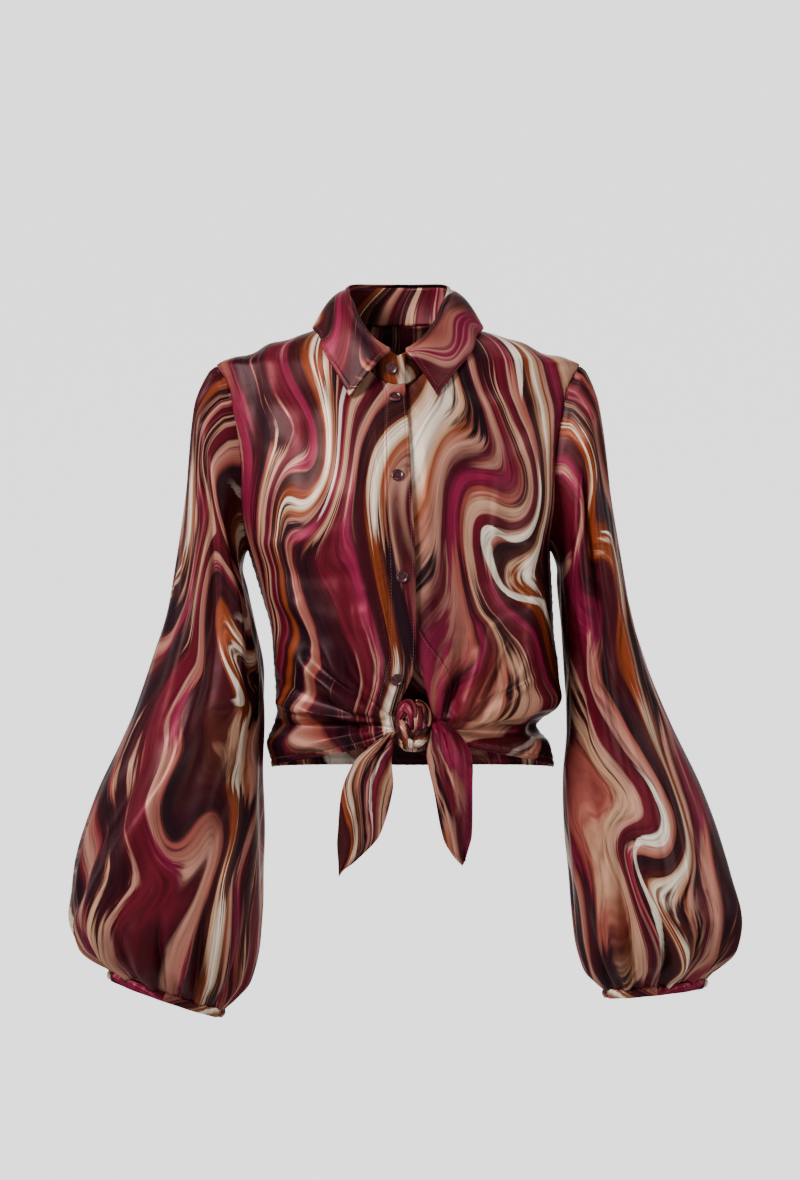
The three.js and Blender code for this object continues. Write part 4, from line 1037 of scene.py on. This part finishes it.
def leaf_points(around, down):
    """A short roll over the stand, then straight lines to the edge on the shoulders, a little full."""
    side = np.where(around < 0, -1, 1)
    degrees = mix(180, 6, np.abs(around))
    angle = side * np.radians(degrees)
    rolled, fallen = np.clip(down / ROLL, 0, 1), np.clip((down - ROLL) / (1 - ROLL), 0, 1)
    bend = rolled * QUARTER
    top = fold_line(angle, -0.4 + 3.8 * np.sin(bend))
    top[..., 2] += -1 + 4.2 * np.cos(bend)
    on, z = (
        np.where(side < 0, *(read(LEAF_EDGE[name], "angle", degrees, column) for name in SIDE))
        for column in ("on", "z")
    )
    on = side * np.radians(on)
    edge = body_form(on, z) + body_normal(on, z) * 3.4
    out = np.stack([np.sin(angle), -np.cos(angle), 0.5 + 0 * angle], -1)
    fullness = 5 * np.sin(np.pi * fallen**0.6)
    return mix(top, edge, fallen[..., None]) + out * fullness[..., None]


LEAF_STITCH = 5


def leaf(rows=60, columns=280):
    """A fine grid with an edge that is pressed flat and stitched all round."""
    down, around = grid(np.linspace(0, 1, rows), np.linspace(-1, 1, columns))
    points = leaf_points(around, down)
    fall, run = lengths(points, 0), lengths(points, 1)
    edge = np.minimum(fall[-1:] - fall, np.minimum(run, run[:, -1:] - run))
    pressed = 0.35 * smooth(0, 1.5, edge) - 0.45 * np.exp(-(((edge - LEAF_STITCH) / 0.9) ** 2))
    points = points + normals_towards(points, points) * pressed[..., None]
    middle = columns // 2
    cut = np.stack([fall * MM + 21, (run - run[:, middle : middle + 1]) * MM], -1)
    obj = shell("collar_leaf_cloth", points, cut, thick=1.5, inward=-points + (0, 0, -30))
    finish_piece(obj, "collar_leaf")
    area = spread(points)
    tell(obj, area)
    return points


LEAF = leaf()

# %% [markdown]
# ## Button bands
# The placket is a strip sewn on the right front's edge, with a line of stitches down both sides.
# The left front has a band as well, which shows only where the fronts part above the knot.

# %% Button bands
BAND_STITCH = 3.2


def band(name, node, foot, rows=200, columns=32):
    """The front's own places under the band, moved out, with soft edges and a stitched dent by each.
    Its foot sinks into the front where the cloth is drawn into the knot."""
    low, clear = foot / UP_STEPS, (foot + 1.6) / UP_STEPS
    up, across = grid(np.linspace(low, 1, rows), np.linspace(0, BAND_SHARE, columns))
    run = lengths(front_points(name, across, up), 1)
    edge = np.minimum(run, run[:, -1:] - run)
    pressed = smooth(-0.5, 1.4, edge) - 0.35 * np.exp(-(((edge - BAND_STITCH) / 0.8) ** 2))
    ripple = 0.25 * np.sin(up * 95 + 2 * np.sin(up * 31))
    ripple *= np.exp(-(((edge - BAND_STITCH) / 3) ** 2))
    sunk = 1.9 * (1 - smooth(low, clear, up))
    points = front_points(name, across, up, 0.5 + pressed + ripple - sunk)
    obj = shell(f"{node}_cloth", points, front_cut(name, across, up), thick=0.9)
    finish_piece(obj, node)
    length = float(lengths(points, 0)[-1, columns // 2]) * MM
    print(obj.name, "length", round(length, 3), "m")
    return points


PLACKET = band("right", "placket", 6.6)
UNDER_PLACKET = band("left", "under_placket", 7)

# %% [markdown]
# ## The tie
# The two fronts run out into ends that are knotted once. A knot of thin cloth is a bundle of
# creases pulled tight by one strand that goes round it, and each free end is a long pointed leaf,
# folded lengthwise where it leaves the knot.

# %% Knot
MIDDLE = np.array([15, -112, -388])
HALF = np.array([16.4, 18, 25])


def lump_front(x, z):
    """y of the knot's front at x and z: the near side of an ellipsoid."""
    inside = 1 - ((x - MIDDLE[0]) / HALF[0]) ** 2 - ((z - MIDDLE[2]) / HALF[2]) ** 2
    return MIDDLE[1] - HALF[1] * np.sqrt(np.maximum(inside, 0.02))


def knot(rows=50, columns=96):
    """The bundle under the strands: a rounded lump, a little smaller than the knot, with creases that
    slant round it."""
    share, turn = grid(np.linspace(0, 1, rows), round_angles(columns))
    rise = -np.cos(np.pi * share)
    slant = np.cos(turn) * 0.9 + rise * 2.1
    size = 0.96 * np.sin(np.pi * share) ** 0.6 + 0.02
    crease = 0.07 * np.cos(slant * 3.2 + np.sin(turn) * 1.4)
    size = size * (1 + crease + 0.04 * np.cos(slant * 13 + 2 * np.sin(turn * 2)))
    offset = np.stack([size * np.sin(turn), -size * np.cos(turn), rise * 0.97], -1)
    points = MIDDLE + offset * HALF
    flat, down = np.linspace(0, 0.09, columns + 1), share[:, :1]
    cut = np.stack([flat + 33 + 0.02 * down, down * 0.05 + 0 * flat], -1)
    obj = shell("knot_cloth", points, cut, round_=True, thick=1.0, inward=MIDDLE - points)
    finish_piece(obj, "knot")
    area = spread(closed(points))
    tell(obj, area)


knot()

# %% [markdown]
# Seven strands lie on the bundle: two come over the top with one between them, and below them two
# pairs lie one under the other like the arms of a V. Each is gathered cloth, so its own section is
# ribbed lengthwise, and its ends dive into the bundle.

# %% Strands
STRAND = "share x z lift half"
STRANDS = {
    "cap_left": table(STRAND, [
        (0, -1, -386, -1.5, 3.4), (0.2, 2, -376, 2.8, 6), (0.45, 8.5, -367, 3.8, 7),
        (0.7, 13.6, -374, 3.6, 5), (1, 14.6, -390, -2, 2.6),
    ]),
    "cap_right": table(STRAND, [
        (0, 15, -366, -2.4, 3), (0.25, 20.5, -365.5, 3, 5), (0.55, 27.4, -373, 3.8, 5.2),
        (0.8, 28, -383, 3, 4.6), (1, 24, -391, -2.2, 3),
    ]),
    "middle": table(STRAND, [
        (0, 16, -366, -2, 3), (0.35, 19.6, -376, 2.6, 4.6), (0.7, 20.4, -386, 3, 4.4),
        (1, 17, -397, -1.8, 2.6),
    ]),
    "left_high": table(STRAND, [
        (0, -1, -380, -1.6, 3), (0.3, 4, -387, 3, 4.4), (0.7, 10, -395, 3.4, 4),
        (1, 16, -401, -1.6, 2.6),
    ]),
    "right_high": table(STRAND, [
        (0, 31, -383, -1.6, 3), (0.3, 26.6, -389, 2.8, 4.4), (0.7, 20, -396, 3, 4),
        (1, 13.4, -402, -1.8, 2.4),
    ]),
    "left_low": table(STRAND, [
        (0, -0.4, -389, -1.6, 3), (0.3, 4.6, -396, 3, 4.4), (0.7, 11, -403, 3.2, 4),
        (1, 17, -408.5, -1.8, 2.4),
    ]),
    "right_low": table(STRAND, [
        (0, 30, -392, -2, 2.8), (0.35, 25, -398.5, 2.6, 4.2), (0.7, 19.4, -404, 2.8, 3.8),
        (1, 13, -409, -1.8, 2.2),
    ]),
}


def strand(name, order, rows=56, columns=36):
    """Rings along a curve on the bundle's front: half wide across, 2/5 as thick, with seven ribs."""
    share, turn = grid(np.linspace(0, 1, rows), round_angles(columns))
    x, z, lift, half = (read(STRANDS[name], "share", share, key) for key in STRAND.split()[1:])
    path = np.stack([x, lump_front(x, z) - lift, z], -1)
    out = unit((path - MIDDLE - (0, 6, 0)) / HALF)
    along = unit(np.gradient(path, axis=0))
    side = unit(np.cross(along, out))
    out = np.cross(side, along)
    rib = 1 + 0.17 * np.cos(7 * turn + 2 * share + order) + 0.08 * np.cos(13 * turn + 5 * share)
    ring = side * np.cos(turn)[..., None] + out * 0.42 * np.sin(turn)[..., None]
    points = path + ring * (half * rib)[..., None]
    down = lengths(path, 0)[:, :1] * MM
    flat = np.linspace(0, 0.034, columns + 1) + 45.3 + 0.013 * order
    cut = np.stack([flat + 0 * down, -down + 0 * flat], -1)
    obj = shell(f"knot_{name}", points, cut, round_=True, thick=0.5, inward=path - points)
    finish_piece(obj, "knot")
    long = float(down[-1, 0])
    girth = spread(closed(points)) / long
    print(obj.name, "girth", round(girth, 3), "length", round(long, 3))


for order, name in enumerate(STRANDS):
    strand(name, order)

# %% Free ends
END = "share x y z half fold"
TIE_ENDS = {
    "right": table(END, [
        (0, -4.4, -116, -392.5, 3, 1), (0.12, -16, -128, -407, 12, 5), (0.25, -25, -130, -423, 19, 8),
        (0.45, -30, -129, -451, 25, 9), (0.75, -38, -125, -494, 21, 7), (0.9, -48, -122, -518, 10, 4),
        (1, -56, -120, -530, 1.5, 1),
    ]),
    "left": table(END, [
        (0, 34, -115.5, -379, 3, 1), (0.12, 45, -130, -394, 14, 6), (0.28, 50, -132, -418, 22, 9),
        (0.5, 53.5, -130, -447, 19, 10), (0.8, 58, -125, -494, 14, 7), (0.92, 61, -122, -511, 7, 3),
        (1, 64, -120, -520, 1.5, 1),
    ]),
}


def tie_end(name, rows=110, columns=52):
    """Rows from the knot to the tip: half the width times across, bent back at both sides. The part on
    one side of a slanting line lies 5 mm in front, as a lap that opens out towards the tip."""
    down, across = grid(np.linspace(0, 1, rows), np.linspace(-1, 1, columns))
    x, y, z, half, fold = (read(TIE_ENDS[name], "share", down, key) for key in END.split()[1:])
    side = SIDE[name]
    start = smooth(0, 0.08, down)
    pleat = 3.2 * np.cos(across * 7 + side + 2.4 * down) * np.exp(-down * 1.3) * start
    pleat += 1.2 * np.cos(across * 15 + 2 * side) * np.exp(-down * 4) * start
    lap = smooth(-0.045, 0.045, across - mix(-0.15, 0.35, down))
    fade = smooth(0, 0.1, down) * (1 - smooth(0.55, 0.85, down))
    second = 2.4 * np.exp(-(((across + 0.52 - 0.2 * down) / 0.14) ** 2))
    y = y + fold * np.abs(across) ** 1.6 + pleat - (5.0 * (1 - lap) + second) * fade + 1.5
    points = np.stack([x + half * across, y, z + 3 * across * down], -1)
    run, fall = lengths(points, 1), lengths(points, 0)
    edge = np.minimum(run, run[:, -1:] - run)
    points[..., 1] -= narrow_hem(edge, 4.0, 0.4) * smooth(0.05, 0.2, down)
    middle, place = columns // 2, {"right": 37, "left": 43.4}[name]
    cut = np.stack([(run - run[:, middle : middle + 1]) * MM + place, -fall * MM], -1)
    obj = shell(f"tie_end_{name}_cloth", points, cut, inward=-AHEAD + 0 * points)
    finish_piece(obj, f"tie_end_{name}")
    area = spread(points)
    tell(obj, area)


for name in SIDE:
    tie_end(name)

# %% [markdown]
# ## Buttons
# Small sew-through buttons in dark red: a dished disc with a rounded rim, held by a cross of
# thread. The solids have the right place, so each new button is turned to lie as its own does
# and then let down along its axis until its back rests on the thin cloth.

# %% Button finish
def button_finish():
    """Cast resin: clouded dark red under a clear polish."""
    paint = Paint("dark_red_button")
    cloud = paint.noise(paint.place(), 260.0, 3.0)
    paint.set(**{
        "Base Color": paint.blend(colour("25070c"), colour("50121c"), cloud.between(0.35, 0.7)),
        "Roughness": 0.24 + cloud * 0.12,
        "Coat Weight": 0.15,
        "Coat Roughness": 0.1,
    })
    return paint.material


def thread_finish(name, code):
    """Spun thread: a matte colour with a fine twist in its bump."""
    paint = Paint(name)
    sockets = {"Vector": paint.place(), "Scale": 900.0}
    twist = paint.add("ShaderNodeTexWave", sockets, out=1, bands_direction="DIAGONAL")
    sockets = {"Strength": 0.4, "Distance": 0.0002, "Height": twist}
    paint.set(**{
        "Base Color": paint.blend(colour(code), colour("2a1016"), twist * 0.35),
        "Roughness": 0.7 - twist * 0.1,
        "Normal": paint.add("ShaderNodeBump", sockets),
    })
    return paint.material


BUTTON = button_finish()
THREAD = thread_finish("burgundy_thread", "7c3a3f")
DARK_THREAD = thread_finish("button_thread", "4b1620")

# %% Buttons
CARRIERS = np.concatenate([PLACKET.reshape(-1, 3), STAND.reshape(-1, 3)])
BUTTON_BACK, BUTTON_RADIUS = 1.2, 6.0
SUNK = 0.25  # how far the back presses into the cloth


def turned(name, centre_, side, upward, axis, radius, height, columns):
    """A closed-round surface: each row a circle of a radius at a height along the axis."""
    turn = round_angles(columns)
    ring = side * np.cos(turn)[:, None] + upward * np.sin(turn)[:, None]
    points = centre_ + ring[None] * radius[:, None, None] + axis * height[:, None, None]
    return mesh_from(name, points.reshape(-1, 3), cells(len(radius), columns, columns))


def button(index):
    """A profile turned about its axis: out along the back, round the rim, down into the dish."""
    node = f"button_{index}"
    corners = np.array([v.co[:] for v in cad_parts[node].data.vertices]) / MM
    middle = corners.mean(0)
    axis = np.linalg.svd(corners - middle)[2][2]
    axis = axis * (1 if axis[1] < 0 else -1)
    side = unit(np.cross(axis, (0, 0, 1)))
    upward = np.cross(side, axis)
    ahead = (CARRIERS - middle) @ axis
    beside = np.linalg.norm(CARRIERS - middle - ahead[:, None] * axis, axis=1)
    under = (beside < BUTTON_RADIUS - 0.5) & (np.abs(ahead) < 8)
    seat = ahead[under].max() + BUTTON_BACK - SUNK
    middle = middle + axis * seat
    print(node, "let down by", round(-float(seat), 2), "mm")
    radius = np.array([0.05, 4.6, 5.6, BUTTON_RADIUS, 5.9, 5.5, 5.0, 4.6, 4.1, 3.4, 2.0, 0.05])
    height = np.array([-1.2, -1.2, -0.8, -0.1, 0.7, 1.15, 1.2, 1.05, 0.65, 0.5, 0.48, 0.48])
    obj = turned(f"{node}_disc", middle, side, upward, axis, radius, height, 48)
    finish_piece(obj, node, slot="button", material=BUTTON)
    return middle, axis, side, upward


PLACES = [button(index) for index in range(1, 6)]
print("buttons:", len(PLACES))

# %% [markdown]
# ## Stitches
# A stitch is a grain of thread a little longer than wide. Rows of them run along each edge that is
# sewn down: both sides of the band, the collar and the hems.

# %% Stitch rows
GRAIN_SHARE = np.array([0, 0.12, 0.5, 0.88, 1.0])
GRAIN_WIDE = np.array([0.25, 0.8, 1, 0.8, 0.25])
GRAIN_SIDES = 6
GRAIN_CAPS = np.array([[0, 5, 4, 1], [1, 4, 3, 2], [24, 25, 28, 29], [25, 26, 27, 28]])


def grains(starts, ends, normals, radius):
    """One closed grain from each start to each end: rings of six about the line, narrow at the tips."""
    along = ends - starts
    side = unit(np.cross(along, normals)) * radius
    lift = unit(np.cross(side, along)) * radius * 0.7
    turn = round_angles(GRAIN_SIDES)[:, None]
    ring = side[:, None, None] * np.cos(turn) + lift[:, None, None] * np.sin(turn)
    line = starts[:, None, None] + along[:, None, None] * GRAIN_SHARE[:, None, None]
    points = line + ring * GRAIN_WIDE[:, None, None]
    one = np.concatenate([cells(len(GRAIN_SHARE), GRAIN_SIDES, GRAIN_SIDES), GRAIN_CAPS])
    first = np.arange(len(starts)) * len(GRAIN_SHARE) * GRAIN_SIDES
    return points.reshape(-1, 3), (one[None] + first[:, None, None]).reshape(-1, 4)


def along_path(values, place, where):
    """Values given at places along a path, read anywhere between them."""
    return np.stack([np.interp(where, place, column) for column in values.T], -1)


def stitch_row(name, path, normals, pitch=3.2, length=2.3, radius=0.28):
    """Grains at even steps along a path of points."""
    step = np.linalg.norm(np.diff(path, axis=0), axis=-1)
    place = np.concatenate([[0], np.cumsum(step)])
    begin = np.arange(1, place[-1] - length, pitch)
    facing = along_path(normals, place, begin)
    starts, ends = (along_path(path, place, at) + facing * 0.12 for at in (begin, begin + length))
    obj = mesh_from(name, *grains(starts, ends, facing, radius))
    obj.data.materials.append(THREAD)
    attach(obj, "root")
    return len(begin)


def column_at(points, distance, from_end=False):
    """For each row of a grid, the point a given distance in from one end."""
    run = lengths(points, 1)
    where = run[:, -1] - distance if from_end else np.full(len(run), float(distance))
    low = np.clip((run < where[:, None]).sum(1) - 1, 0, points.shape[1] - 2)
    rows = np.arange(len(points))
    share = (where - run[rows, low]) / np.maximum(run[rows, low + 1] - run[rows, low], 1e-9)
    return mix(points[rows, low], points[rows, low + 1], share[:, None])


total = 0
normals = normals_towards(PLACKET, AHEAD)
for end in (False, True):
    path = column_at(PLACKET, BAND_STITCH, end)
    total += stitch_row(f"placket_stitches_{int(end)}", path, normals[:, -3 if end else 3])
path = column_at(UNDER_PLACKET, BAND_STITCH, True)
normals = normals_towards(UNDER_PLACKET, AHEAD)
total += stitch_row("under_placket_stitches", path, normals[:, -3])
normals = normals_towards(LEAF, LEAF)
path = column_at(LEAF.transpose(1, 0, 2), LEAF_STITCH, True)
total += stitch_row("leaf_edge_stitches", path, normals[-6])
fall = slice(12, -5)  # from below the roll to the stitches along the edge
for column, end in ((6, False), (-7, True)):
    path = column_at(LEAF, LEAF_STITCH, end)[fall]
    total += stitch_row(f"leaf_point_stitches_{int(end)}", path, normals[fall, column])
for name, points in FRONTS.items():
    clear = slice(8, -1)  # past the tie, short of the side seam
    path = column_at(points.transpose(1, 0, 2), HEM)[clear]
    total += stitch_row(f"hem_stitches_{name}", path, normals_towards(points, AHEAD)[5][clear])
path = column_at(BACK.transpose(1, 0, 2), HEM)[1:-1]
total += stitch_row("hem_stitches_back", path, normals_towards(BACK, -AHEAD)[5][1:-1])
print("stitches:", total)

# %% Button threads
def button_threads():
    """Two strands on each button, crossed corner to corner over its middle."""
    middle, axis, side, upward = (np.array(part) for part in zip(*PLACES))
    top = middle + axis * 0.62
    corners = np.stack([side + upward, side - upward], 1) * 1.25
    starts, ends = ((top[:, None] + way * corners).reshape(-1, 3) for way in (-1, 1))
    points, faces = grains(starts, ends, np.repeat(axis, 2, 0), 0.38)
    obj = mesh_from("button_threads", points, faces)
    obj.data.materials.append(DARK_THREAD)
    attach(obj, "root")


button_threads()

# %% [markdown]
# ## Stage, light and camera
# A plain pale floor curves up into a plain pale wall that goes all the way round, and the wall glows as
# painted light, brightest behind the blouse. One large soft light stands high at the left of the
# camera, a weaker one fills from the right, and one from above catches the shoulders. The camera looks
# straight at the front from four metres, so sizes stay true.

# %% Stage
FLOOR, WALL, CURVE, TOP = -2600, 7600, 1400, 5200


def backdrop():
    """A profile of floor, quarter-round and wall, turned about the upright axis, open at the top."""
    bend = np.linspace(0, QUARTER, 20)
    radius = np.concatenate([[40, 3000], WALL - CURVE + CURVE * np.sin(bend), [WALL]])
    z = np.concatenate([[FLOOR, FLOOR], FLOOR + CURVE - CURVE * np.cos(bend), [TOP]])
    obj = turned("backdrop", np.zeros(3), *np.eye(3), radius, z, 96)
    paint = Paint("glowing_pale_paper")
    place = paint.place()
    grain = paint.noise(place, 0.6)
    lit = paint.split(place)[1].between(6.7, 7.4)  # the wall behind, as far as the picture shows it
    # painted light: the whole wall glows, dim all round and bright on the part behind the blouse, and
    # this glow also lights the blouse softly
    paint.set(**{
        "Base Color": paint.blend(colour("c4c4c4"), colour("cacaca"), grain),
        "Emission Color": paint.blend(colour("545454"), colour("f4f4f4"), lit),
        "Emission Strength": 1.85,
        "Roughness": 0.95,
        "Specular IOR Level": 0.1,
    })
    obj.data.materials.append(paint.material)


backdrop()

# %% Light
def lamp(name, place, aim, power, size=1.0):
    """A square area light at a place in metres, turned towards a point."""
    data = bpy.data.lights.new(name, "AREA")
    data.shape, data.size, data.energy = "SQUARE", size, power
    obj = bpy.data.objects.new(name, data)
    bpy.context.scene.collection.objects.link(obj)
    away = np.array(place) - np.array(aim)
    obj.location = place
    tilt = np.arctan2(np.hypot(away[0], away[1]), away[2])
    obj.rotation_euler = (tilt, 0, np.arctan2(away[1], away[0]) + QUARTER)


lamp("key", (-2.2, -1.9, 1.5), (0, 0, -0.3), 180)
lamp("fill", (2.5, -1.4, 0.1), (0, 0, -0.35), 34)
lamp("top", (0.3, 0.3, 2.0), (0, 0, -0.2), 14)
world = bpy.data.worlds.new("studio")
bpy.context.scene.world = world
world.use_nodes = True
air = world.node_tree.nodes["Background"].inputs
air["Color"].default_value, air["Strength"].default_value = (1, 1, 1, 1), 0.1

# %% Camera
PICTURE_HEIGHT = 1.180  # metres that the picture shows at the blouse's own plane
SENSOR = 36


def camera(distance=4.0):
    """A level camera whose lens shows the picture's height at its distance."""
    data = bpy.data.cameras.new("camera")
    data.sensor_width = SENSOR
    data.lens = SENSOR * distance / PICTURE_HEIGHT
    obj = bpy.data.objects.new("camera", data)
    bpy.context.scene.collection.objects.link(obj)
    obj.location = (0.002, -distance, -0.255)
    obj.rotation_euler = (QUARTER, 0, 0)
    bpy.context.scene.camera = obj


camera()
